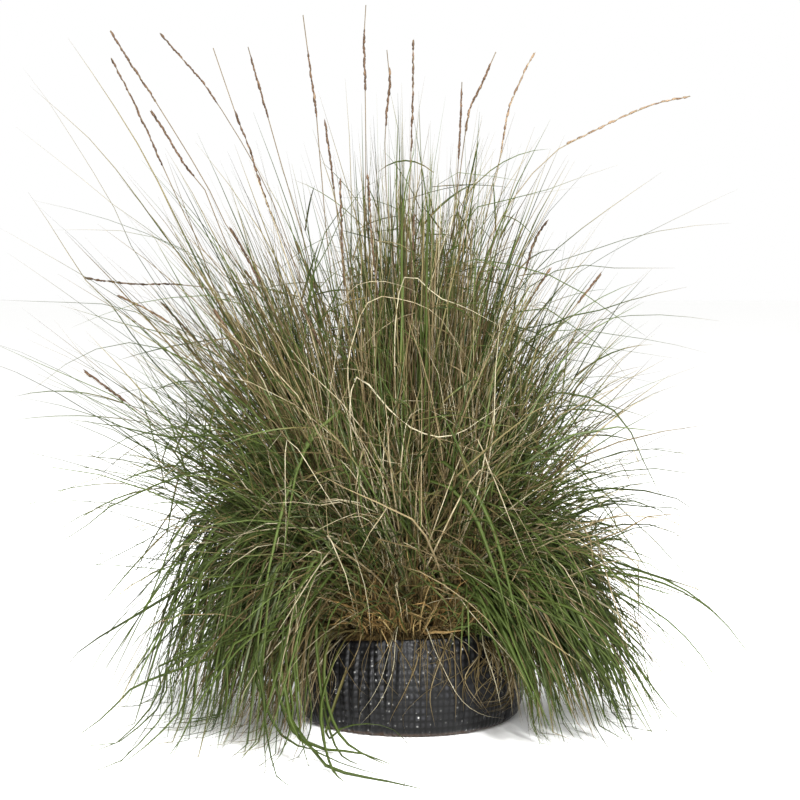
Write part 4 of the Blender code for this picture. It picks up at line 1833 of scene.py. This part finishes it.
    def skirts(self) -> None:
        """The broader leaves that flop over and hang low, but for the pot's front."""
        nodes = numbered("skirt_leaf_tuft", 10)
        left = (
            Growth(62, 4, (112, 240), (0.04, 0.104), (8, 34), (112, 150), (0.22, 0.34),
                   (0.0024, 0.0046), power=1.0, turn=(0.12, 0.48), steps=12,
                   section=Section.FOLDED, twist=45, drift=14, fanning=9, wave=3,
                   tone=(0.0, 1.0)),
            Growth(7, 4, (214, 238), (0.06, 0.104), (6, 24), (136, 156), (0.34, 0.43),
                   (0.0030, 0.0050), power=1.0, turn=(0.15, 0.5), steps=13,
                   section=Section.FOLDED, twist=40, drift=8, fanning=7, wave=3,
                   tone=(0.2, 1.0)),
            Growth(34, 4, (112, 236), (0.07, 0.104), (26, 56), (90, 130), (0.12, 0.19),
                   (0.0022, 0.0042), steps=9, section=Section.FOLDED, twist=45, drift=14,
                   fanning=9, tone=(0.0, 0.9)),
            Growth(36, 4, (140, 224), (0.06, 0.104), (10, 26), (136, 156), (0.38, 0.48),
                   (0.0022, 0.0040), power=1.0, turn=(0.18, 0.54), steps=13,
                   section=Section.FOLDED, twist=45, drift=12, fanning=8, wave=3,
                   tone=(0.0, 0.95)),
            Growth(4, 4, (146, 216), (0.07, 0.104), (26, 48), (96, 132), (0.36, 0.48),
                   (0.0020, 0.0038), power=1.0, turn=(0.14, 0.62), steps=13,
                   section=Section.FOLDED, twist=45, drift=12, fanning=8, wave=3,
                   tone=(0.0, 0.95)),
        )
        broad = sprig_blades(BROAD_LEAVES, np.random.default_rng(4), Section.FOLDED)
        self.stand("skirt_leaves_left", left, False, nodes, broad)
        right = (
            Growth(64, 4, (-56, 85), (0.04, 0.104), (6, 26), (126, 158), (0.21, 0.31),
                   (0.0026, 0.0052), power=1.0, turn=(0.12, 0.46), steps=12,
                   section=Section.FOLDED, twist=40, drift=12, fanning=8, wave=3,
                   tone=(0.0, 1.0)),
            Growth(60, 4, (-66, 6), (0.05, 0.10), (8, 24), (108, 140), (0.21, 0.32),
                   (0.0030, 0.0056), power=1.0, turn=(0.08, 0.46), steps=12,
                   section=Section.FOLDED, twist=36, drift=10, fanning=7, wave=3,
                   tone=(0.1, 0.8)),
            Growth(14, 4, (-50, 60), (0.05, 0.104), (10, 28), (130, 152), (0.32, 0.42),
                   (0.0024, 0.0042), power=1.0, turn=(0.14, 0.5), steps=13,
                   section=Section.FOLDED, twist=40, drift=10, fanning=7, wave=3,
                   tone=(0.0, 0.9)),
            Growth(34, 4, (-50, 90), (0.07, 0.104), (30, 54), (94, 126), (0.10, 0.17),
                   (0.0024, 0.0048), steps=9, section=Section.FOLDED, twist=45, drift=14,
                   fanning=9, tone=(0.0, 0.9)),
        )
        self.stand("skirt_leaves_right", right, False)

    def straws(self) -> None:
        """The dead leaves all through the clump."""
        nodes = numbered("dry_leaf_tuft", 4)
        hanging = (
            Growth(190, 3, (98, 242), (0.03, 0.104), (8, 42), (40, 140), (0.17, 0.30),
                   (0.0012, 0.0025), power=1.1, kink=26, wave=8, tone=(0.1, 1.0), steps=9,
                   fanning=14, drift=40, stray=40),
            Growth(190, 3, (-70, 98), (0.03, 0.10), (4, 26), (86, 155), (0.14, 0.235),
                   (0.0012, 0.0026), power=1.1, kink=26, wave=8, tone=(0.1, 1.0), steps=9,
                   fanning=14, drift=40, stray=40),
            Growth(80, 3, (-160, -20), (0.02, 0.09), (4, 36), (10, 110), (0.16, 0.34),
                   (0.0012, 0.0026), power=1.3, kink=28, wave=9, tone=(0.2, 1.0), steps=9,
                   fanning=14, drift=40, stray=40),
            Growth(90, 3, (112, 240), (0.05, 0.104), (8, 30), (120, 158), (0.23, 0.34),
                   (0.0012, 0.0026), power=1.0, turn=(0.1, 0.5), kink=12, wave=5,
                   tone=(0.1, 1.0), steps=10, fanning=10, drift=18),
            Growth(90, 3, (-64, 85), (0.05, 0.104), (8, 26), (100, 150), (0.20, 0.30),
                   (0.0012, 0.0028), power=1.0, turn=(0.1, 0.5), kink=12, wave=5,
                   tone=(0.1, 1.0), steps=10, fanning=10, drift=18),
        )
        curls = sprig_blades(CREAM_STRAWS, np.random.default_rng(8), Section.KEELED)
        self.stand("hanging_straws", hanging, True, nodes, curls)
        over_pot = (
            Growth(34, 3, (-164, -128), (0.085, 0.104), (70, 96), (70, 96), (0.11, 0.20),
                   (0.0010, 0.0020), power=0.6, stray=8, drift=14, kink=12, wave=5,
                   tone=(0.2, 1.0), steps=12, fanning=9, clears_front=False, hem=0.0),
            Growth(24, 3, (-46, -14), (0.085, 0.104), (70, 96), (70, 96), (0.08, 0.16),
                   (0.0010, 0.0020), power=0.6, stray=8, drift=30, kink=24, wave=8,
                   tone=(0.2, 1.0), steps=12, fanning=14, clears_front=False, hem=0.0),
            Growth(40, 3, (-4, 200), (0.085, 0.104), (70, 96), (70, 96), (0.08, 0.19),
                   (0.0009, 0.0018), power=0.6, stray=8, drift=22, kink=14, wave=5,
                   tone=(0.1, 0.9), steps=12, fanning=12, hem=0.0),
            Growth(6, 2, (-112, -68), (0.085, 0.104), (72, 96), (70, 96), (0.05, 0.12),
                   (0.0008, 0.0012), power=0.6, stray=8, drift=22, kink=14, wave=5,
                   tone=(0.1, 0.7), steps=14, fanning=12, clears_front=False, hem=0.0),
        )
        strands = [*ON_POT, *edge_straws(np.random.default_rng(9))]
        clinging = [strand.blade(np.random.default_rng(i)) for i, strand in enumerate(strands)]
        self.stand("straws_over_pot", over_pot, True, (), clinging)

    def thatch(self) -> None:
        """The short leaf bases that stand on the crown."""
        made = THATCH.build()
        rng = np.random.default_rng(self.seed + 100)
        growths = (
            Growth(230, 4, (-180, 180), (0.02, 0.104), (4, 56), (0, 50), (0.04, 0.11),
                   (0.0016, 0.0034), steps=6, wave=6, kink=14, tone=(0.0, 0.9), fanning=14),
            Growth(200, 4, (-152, -28), (0.06, 0.104), (0, 50), (-10, 60), (0.04, 0.12),
                   (0.0013, 0.0032), steps=6, wave=6, kink=16, tone=(0.0, 1.0), fanning=16,
                   drift=40),
        )
        batches = [growth.grow(rng) for growth in growths]
        add_piece("leaf_bases", blade_mesh("leaf_bases", batches), made, "leaf_bases")

    def trailing(self) -> None:
        """The leaves that run down onto the floor and lie along it."""
        nodes = numbered("trailing_leaf_tuft", 3)
        green = (
            Growth(4, 3, (-134, -118), (0.085, 0.104), (40, 56), (84, 104), (0.34, 0.44),
                   (0.0024, 0.0040), power=1.1, stray=8, drift=14, steps=14, fanning=5,
                   section=Section.FOLDED, twist=40, hem=0.0),
            Growth(3, 3, (-165, -136), (0.085, 0.104), (34, 50), (96, 116), (0.36, 0.46),
                   (0.0024, 0.0040), power=1.1, stray=8, drift=10, steps=14, fanning=5,
                   section=Section.FOLDED, twist=40, hem=0.0),
            Growth(2, 3, (-50, -20), (0.085, 0.104), (36, 52), (92, 112), (0.34, 0.40),
                   (0.0026, 0.0048), power=1.1, stray=8, drift=10, steps=14, fanning=5,
                   section=Section.FOLDED, twist=40, hem=0.0),
        )
        placed = sprig_blades(TRAILING, np.random.default_rng(6), Section.FOLDED)
        self.stand("trailing_leaves", green, False, nodes, placed)

    def build(self) -> None:
        """Builds every piece of the foliage."""
        self.core()
        self.fan()
        self.arching()
        self.skirts()
        self.straws()
        self.thatch()
        self.trailing()


@dataclass(frozen=True)
class Culm:
    """A flowering stem: its pixels from low to tip, and where along them its spike starts."""

    pixels: tuple[tuple[float, float], ...]
    depth: tuple[float, float]
    spike: float = 0.82  # the share of the whole stem at which the spike starts
    spike_end: float = 1.0
    tone: float = 0.5
    stem_tone: float = 0.45
    width: float = 0.0010
    seeds: int = 24


@dataclass
class FlowerStems:
    """The flowering stems with their narrow, jointed brown spikes."""

    seed: int = 71
    seed_width: float = 0.0025
    seed_length: float = 0.0085
    culms: tuple[Culm, ...] = (
        Culm(((300, 330), (235, 240), (205, 182), (154, 99), (127, 58), (110, 31)), (0.0, -0.04), 0.87),
        Culm(((290, 330), (235, 285), (200, 245), (160, 160), (135, 105), (111, 58)), (0.02, 0.07), 0.80),
        Culm(
            ((290, 340), (235, 262), (205, 190), (188, 170), (168, 137), (151, 111)),
            (-0.02, -0.06), 0.86,
        ),
        Culm(((305, 300), (270, 195), (220, 107), (197, 75), (178, 54), (160, 33)), (0.03, 0.09), 0.84),
        Culm(
            ((320, 330), (276, 225), (262, 190), (250, 150), (237, 118), (213, 48)),
            (-0.03, -0.10), 0.68, 0.88,
        ),
        Culm(((320, 300), (280, 160), (264, 103), (248, 47)), (0.05, 0.12), 0.86, 0.97),
        Culm(((335, 300), (322, 180), (316, 110), (311, 75), (303, 15)), (0.02, 0.05), 0.82, 0.93),
        Culm(((366, 300), (366, 160), (365, 75), (364, 37), (366, 5)), (0.03, 0.06), 0.85, 0.95),
        Culm(((350, 320), (338, 220), (330, 158), (325, 121)), (-0.04, -0.07), 0.86),
        Culm(((392, 320), (385, 150), (390, 80), (387, 50)), (0.01, 0.03), 0.86, 0.96),
        Culm(((405, 320), (410, 180), (413, 93), (413, 40)), (-0.02, -0.06), 0.80),
        Culm(((448, 330), (456, 200), (459, 150), (461, 110), (462, 82)), (0.03, 0.08), 0.84, 0.97),
        Culm(((440, 330), (462, 160), (468, 115), (480, 88), (496, 52)), (-0.05, -0.12), 0.84, 0.97, 0.7),
        Culm(
            ((455, 330), (488, 210), (500, 160), (510, 105), (534, 53)),
            (0.04, 0.09), 0.80, 1.0, 0.95, 0.8,
        ),
        Culm(((455, 330), (500, 220), (545, 160), (580, 138), (620, 118), (660, 102), (690, 96)),
             (0.0, 0.03), 0.78, 1.0, 0.95, 0.8),
        Culm(((480, 380), (515, 300), (535, 240), (546, 222)), (-0.05, -0.09), 0.86, 1.0, 0.3),
        Culm(((480, 420), (530, 360), (560, 325), (600, 275)), (0.0, 0.02), 0.90, 1.0, 0.6),
        Culm(((300, 340), (240, 300), (190, 285), (133, 284), (85, 278)), (0.02, 0.04), 0.80, 1.0, 0.25),
        Culm(((350, 400), (345, 300), (342, 240), (340, 180)), (-0.05, -0.09), 0.75, 1.0, 0.5),
        Culm(((385, 400), (378, 300), (372, 240), (368, 175)), (-0.06, -0.10), 0.72, 1.0, 0.6),
        Culm(((410, 400), (410, 300), (412, 260), (414, 215)), (-0.06, -0.10), 0.70, 1.0, 0.5),
    )

    def sprigs(self) -> list[tuple[Culm, Sprig]]:
        """The photograph's stems as strands."""
        made = []
        for culm in self.culms:
            sprig = Sprig(
                culm.pixels,
                culm.depth,
                culm.width,
                culm.stem_tone,
                root=(0.03, 0),
                steps=18,
                taper=False,
            )
            made.append((culm, sprig))
        return made

    def spread(self, rng: np.random.Generator) -> list[tuple[Culm, np.ndarray]]:
        """The stems of the far side, which the photograph hides or shows only in part.

        Args:
            rng: the source of their variation.

        Returns:
            Each stem with its path.
        """
        growth = Growth(12, 1, (20, 160), (0.0, 0.05), (4, 30), (6, 30), (0.36, 0.50),
                        (0.0010, 0.0011), drift=6, steps=18)
        more = Growth(8, 1, (145, 240), (0.0, 0.05), (16, 44), (6, 24), (0.36, 0.48),
                      (0.0010, 0.0011), drift=6, steps=18)
        made = []
        for blades in (growth.grow(rng), more.grow(rng)):
            for path in blades.points:
                tone = float(rng.uniform(0.2, 0.8))
                made.append((Culm((), (0, 0), 0.86, 1.0, tone, tone, 0.0010), path))
        return made

    def spike(self, culm: Culm, path: np.ndarray, rng: np.random.Generator) -> Blades:
        """A spike: pointed husks set close on both sides of the stem.

        Args:
            culm: the stem it belongs to.
            path: the stem's points.
            rng: the source of its variation.

        Returns:
            The husks, as short blades.
        """
        dense = smooth_path(path, 160)
        places = np.linspace(culm.spike, culm.spike_end, culm.seeds) * 159
        index = np.clip(places.astype(int), 0, 157)
        start = dense[index]
        ahead = dense[index + 2] - start
        ahead /= np.linalg.norm(ahead, axis=-1, keepdims=True)
        side = np.cross(ahead, rng.normal(0, 1, (len(index), 3)))
        side /= np.linalg.norm(side, axis=-1, keepdims=True)
        away = ahead + side * 0.11
        reach = self.seed_length * rng.uniform(0.7, 1.15, len(index))
        s = np.linspace(0, 1, 5)
        points = start[:, None] + away[:, None] * (reach[:, None] * s)[..., None]
        shape = np.array([0.35, 1.0, 0.9, 0.5, 0.08])
        size = self.seed_width * rng.uniform(0.7, 1.15, len(index))
        return Blades(
            points=points,
            width=size[:, None] * shape[None, :],
            roll=np.repeat(rng.uniform(0, 3, len(index))[:, None], 5, axis=1),
            tone=np.clip(culm.tone + rng.normal(0, 0.16, len(index)), 0, 1),
            dry=np.zeros(len(index)),
            section=Section.ROUND,
        )

    def build(self) -> None:
        """Builds the stems and their spikes, as two pieces."""
        rng = np.random.default_rng(self.seed)
        stems, spikes = [], []
        for culm, sprig in self.sprigs():
            stems += sprig_blades((sprig,), rng, Section.ROUND)
            spikes.append(self.spike(culm, stems[-1].points[0], rng))
        for culm, path in self.spread(rng):
            stems.append(
                Blades(
                    points=path[None],
                    width=np.full((1, len(path)), culm.width),
                    roll=np.zeros((1, len(path))),
                    tone=np.array([culm.stem_tone]),
                    dry=np.zeros(1),
                    section=Section.ROUND,
                )
            )
            spikes.append(self.spike(culm, path, rng))
        nodes = numbered("flower_stem", 9)
        mesh = blade_mesh("flower_stems", stems)
        add_piece("flower_stems", mesh, STEM.build(), "flower_spike", *nodes)
        mesh = blade_mesh("flower_spikes", spikes)
        add_piece("flower_spikes", mesh, SPIKE.build(), "flower_spike")


@dataclass
class WovenPot:
    """The soft pot: a sheet of woven tapes with creases, open at the top."""

    crossing_across: float = 0.0062
    crossing_down: float = 0.0082
    samples: int = 4  # points across a crossing
    relief: float = 0.0012
    pleats: tuple[tuple[float, float, float], ...] = (
        # azimuth in degrees, width in degrees, depth
        (-128.0, 1.7, 0.0022),
        (-122.5, 1.4, 0.0026),
        (-117.5, 1.3, 0.0020),
        (-113.0, 1.5, 0.0028),
        (-108.0, 1.3, 0.0022),
        (-104.0, 1.2, 0.0026),
        (-99.0, 1.4, 0.0018),
        (-84.0, 1.5, 0.0012),
        (-62.0, 2.0, 0.0014),
        (-30.0, 2.0, 0.0018),
        (20.0, 2.4, 0.0020),
        (75.0, 2.0, 0.0020),
        (128.0, 2.2, 0.0018),
        (176.0, 2.0, 0.0022),
    )

    def outline(self) -> tuple[np.ndarray, int]:
        """The pot's outside in section.

        Returns:
            Radius and height from the rim down to the underside, and how many of the points
            carry the weave.
        """
        rows = int(round((POT.height - POT.corner / 2) / self.crossing_down)) * self.samples
        heights = np.linspace(POT.height, POT.corner, rows + 1)
        wall = np.stack([POT.radius(heights), heights], axis=-1)
        turn = np.linspace(0, math.pi / 2, 5)[1:]
        inner = POT.base - POT.corner
        corner = np.stack(
            [inner + POT.corner * np.cos(turn), POT.corner * (1 - np.sin(turn))], axis=-1
        )
        under = np.array([[POT.flat, 0.0], [0.06, 0.0], [0.03, 0.0], [0.002, 0.0]])
        return np.concatenate([wall, corner, under]), rows + 3

    def weave(self, rows: int, woven: int, columns: int) -> np.ndarray:
        """How high each point stands on the tapes, from 0 in a gap to 1 on a crossing.

        Args:
            rows: the rows of points.
            woven: how many of them carry the weave.
            columns: the points in each row.

        Returns:
            The heights, as (rows, columns).
        """
        rng = np.random.default_rng(5)
        down = np.arange(rows)[:, None] / self.samples
        across = np.arange(columns)[None, :] / self.samples
        by_row = np.abs(np.sin(math.pi * down))
        by_column = np.abs(np.sin(math.pi * across))
        warp_over = (np.floor(down) + np.floor(across)) % 2 == 0
        pillow = np.where(
            warp_over, by_column**0.5 * by_row**1.1, by_column**1.1 * by_row**0.5
        )
        cells = rng.uniform(0.62, 1.0, (rows // self.samples + 1, columns // self.samples))
        each = np.repeat(np.repeat(cells, self.samples, 0), self.samples, 1)[:rows]
        pillow = pillow * each
        pillow[woven:] = 0
        return pillow

    def creased(self, depth: np.ndarray, height: np.ndarray, azimuth: np.ndarray) -> np.ndarray:
        """Presses the pot's upright creases into its wall.

        Args:
            depth: how far each point stands off the plain wall.
            height: each row's height, as a column.
            azimuth: each column's azimuth, as a row.

        Returns:
            The depths with the creases.
        """
        lean = np.degrees(azimuth)
        strength = np.clip(1.15 - height / POT.height * 0.6, 0, 1) * (height > 0.001)
        for place, width, deep in self.pleats:
            bent = place + 40 * (height - 0.05) * math.sin(place)
            away = (lean - bent + 180) % 360 - 180
            depth = depth - deep * np.exp(-((away / width) ** 2)) * strength
            depth = depth + deep * 0.35 * np.exp(-(((away - width * 2) / width) ** 2)) * strength
        return depth

    def build(self) -> None:
        """Builds the pot's outside with its weave, its rim and its inside."""
        outline, woven = self.outline()
        across = 2 * math.pi * POT.belly / self.crossing_across
        columns = int(round(across / 2)) * 2 * self.samples
        azimuth = (np.arange(columns) / columns * 2 * math.pi)[None, :]
        rows = len(outline)
        height = outline[:, 1][:, None]
        weave = self.weave(rows, woven, columns)
        depth = self.creased(self.relief * (weave - 0.55), height, azimuth)
        depth[woven:] = 0
        outside = POT.soften(self.turned(outline[:, 0][:, None] + depth, height, azimuth))
        rng = np.random.default_rng(6)
        outside[0, :, 2] += rng.normal(0, 0.0005, columns)
        lining = outline[: rows - 4 : 6]
        radius = np.concatenate([lining[:, 0] - POT.wall, [0.08, 0.002]])[:, None]
        inner_height = np.concatenate([np.maximum(lining[:, 1], POT.wall), [POT.wall] * 2])
        flat = np.zeros((len(radius), columns))
        inside = POT.soften(self.turned(radius + flat, inner_height[:, None], azimuth))
        inside[0, :, 2] += 0.0004
        heights = np.concatenate([flat, weave])
        self.weave_mesh(np.concatenate([inside[::-1], outside]), heights, columns)

    def turned(
        self, radius: np.ndarray, height: np.ndarray, azimuth: np.ndarray
    ) -> np.ndarray:
        """Points at each radius, height and azimuth, as (rows, columns, 3)."""
        up = np.broadcast_to(height, radius.shape)
        return np.stack([radius * np.cos(azimuth), radius * np.sin(azimuth), up], axis=-1)

    def weave_mesh(self, rings: np.ndarray, heights: np.ndarray, columns: int) -> None:
        """Joins rings of points into the closed pot and adds it.

        Args:
            rings: the rings, from the inside's middle over the rim to the underside's middle.
            heights: how high each point stands on the tapes.
            columns: the points in each ring.
        """
        count = len(rings)
        ring = np.arange(columns)
        after = (ring + 1) % columns
        start = np.arange(count - 1)[:, None] * columns
        quads = np.stack(
            [start + columns + ring, start + columns + after, start + after, start + ring], -1
        ).reshape(-1, 4)
        faces = quads.tolist()
        faces.append(ring.tolist())
        faces.append(((count - 1) * columns + ring[::-1]).tolist())
        mesh = bpy.data.meshes.new("woven_pot")
        mesh.from_pydata(rings.reshape(-1, 3).tolist(), [], faces)
        mesh.shade_smooth()
        layer = mesh.attributes.new(Trait.ACROSS.value, "FLOAT", "POINT")
        layer.data.foreach_set("value", heights.ravel().astype(np.float32))
        add_piece("woven_pot", mesh, WovenTape().build(), "woven_tape", "fabric_pot")


@dataclass
class GrowingMedium:
    """The potting mix and the mat of leaf bases, which keep their solids' places."""

    rings: int = 18
    columns: int = 72
    lump: float = 0.0035

    def build(self) -> None:
        """Dresses the soil's solid and puts a lumpy mat in place of the crown's."""
        soil = EarthyMatter("bark_potting_mix", "#1a120b", "#3a2819", "#6b4e33", 4.0)
        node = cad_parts["potting_mix"]
        node.data.materials.clear()
        node.data.materials.append(soil.build())
        mat = EarthyMatter("leaf_bases_rotted", "#2b2212", "#46381f", "#6a5733", 5.0)
        rng = np.random.default_rng(3)
        turn = np.linspace(0.03, math.pi / 2, self.rings)
        azimuth = np.arange(self.columns) / self.columns * 2 * math.pi
        radius = CROWN.radius * np.sin(turn)[:, None]
        lumps = rng.uniform(-1, 0.2, (self.rings, self.columns)) * self.lump
        height = CROWN.base + CROWN.height * np.cos(turn)[:, None] + lumps
        height[-1] = CROWN.base
        points = np.stack(
            [
                radius * np.cos(azimuth)[None, :],
                radius * np.sin(azimuth)[None, :],
                height,
            ],
            axis=-1,
        )
        ring = np.arange(self.columns)
        after = (ring + 1) % self.columns
        start = np.arange(self.rings - 1)[:, None] * self.columns
        quads = np.stack(
            [start + ring, start + self.columns + ring, start + self.columns + after, start + after],
            -1,
        ).reshape(-1, 4)
        faces = quads.tolist()
        faces.append(ring.tolist())
        faces.append(((self.rings - 1) * self.columns + ring[::-1]).tolist())
        mesh = bpy.data.meshes.new("crown_mat")
        mesh.from_pydata(points.reshape(-1, 3).tolist(), [], faces)
        mesh.shade_smooth()
        add_piece("crown_mat", mesh, mat.build(), "leaf_bases", "crown")


@dataclass
class Studio:
    """The camera, the soft lights and the plain pale floor."""

    floor_size: float = 30.0
    floor_colour: str = "#fcfcfb"

    def camera(self) -> None:
        """Sets the camera at the photograph's viewpoint."""
        data = bpy.data.cameras.new("camera")
        data.sensor_width = VIEW.sensor
        data.lens = VIEW.focal * VIEW.sensor / PIXELS
        data.clip_end = 100
        item = bpy.data.objects.new("camera", data)
        item.location = VIEW.place
        item.rotation_euler = (math.pi / 2 - VIEW.tilt, 0, 0)
        bpy.context.scene.collection.objects.link(item)
        bpy.context.scene.camera = item

    def floor(self) -> None:
        """Lays the floor."""
        half = self.floor_size / 2
        mesh = bpy.data.meshes.new("floor")
        corners = [(-half, -half, 0), (half, -half, 0), (half, half, 0), (-half, half, 0)]
        mesh.from_pydata(corners, [], [(0, 1, 2, 3)])
        made, tree = new_material("paper_floor_matt")
        body = add_node(
            tree,
            "BsdfPrincipled",
            {},
            {"Base Color": linear(self.floor_colour), "Roughness": 0.9},
        )
        add_node(tree, "OutputMaterial", {}, {0: body.outputs[0]})
        mesh.materials.append(made)
        item = bpy.data.objects.new("floor", mesh)
        bpy.context.scene.collection.objects.link(item)

    def light(self, name: str, place: tuple, power: float, size: float) -> None:
        """Hangs a square soft light that faces the clump's middle.

        Args:
            name: the light's name.
            place: where it hangs.
            power: its power in watts.
            size: its side in metres.
        """
        data = bpy.data.lights.new(name, "AREA")
        data.energy = power
        data.size = size
        item = bpy.data.objects.new(name, data)
        item.location = place
        aim = item.location.copy()
        aim.z -= 0.3
        item.rotation_euler = aim.to_track_quat("Z", "Y").to_euler()
        bpy.context.scene.collection.objects.link(item)

    def build(self) -> None:
        """Builds the studio."""
        self.camera()
        self.floor()
        self.light("key", (0.7, -2.4, 2.7), 250, 0.6)
        self.light("fill", (-0.5, -3.0, 0.7), 80, 0.9)
        self.light("rim", (-0.6, 2.4, 2.2), 50, 1.2)
        world = bpy.data.worlds.new("studio")
        world.use_nodes = True
        background = world.node_tree.nodes["Background"]
        background.inputs["Color"].default_value = (1, 1, 1, 1)
        background.inputs["Strength"].default_value = 1.0
        bpy.context.scene.world = world
        bpy.context.scene.view_settings.view_transform = "Standard"


def main() -> None:
    """Builds the studio, the pot and the plant, in that order."""
    logging.basicConfig(level=logging.INFO, format="%(message)s")
    Studio().build()
    WovenPot().build()
    GrowingMedium().build()
    Foliage().build()
    FlowerStems().build()


if __name__ == "__main__":
    main()
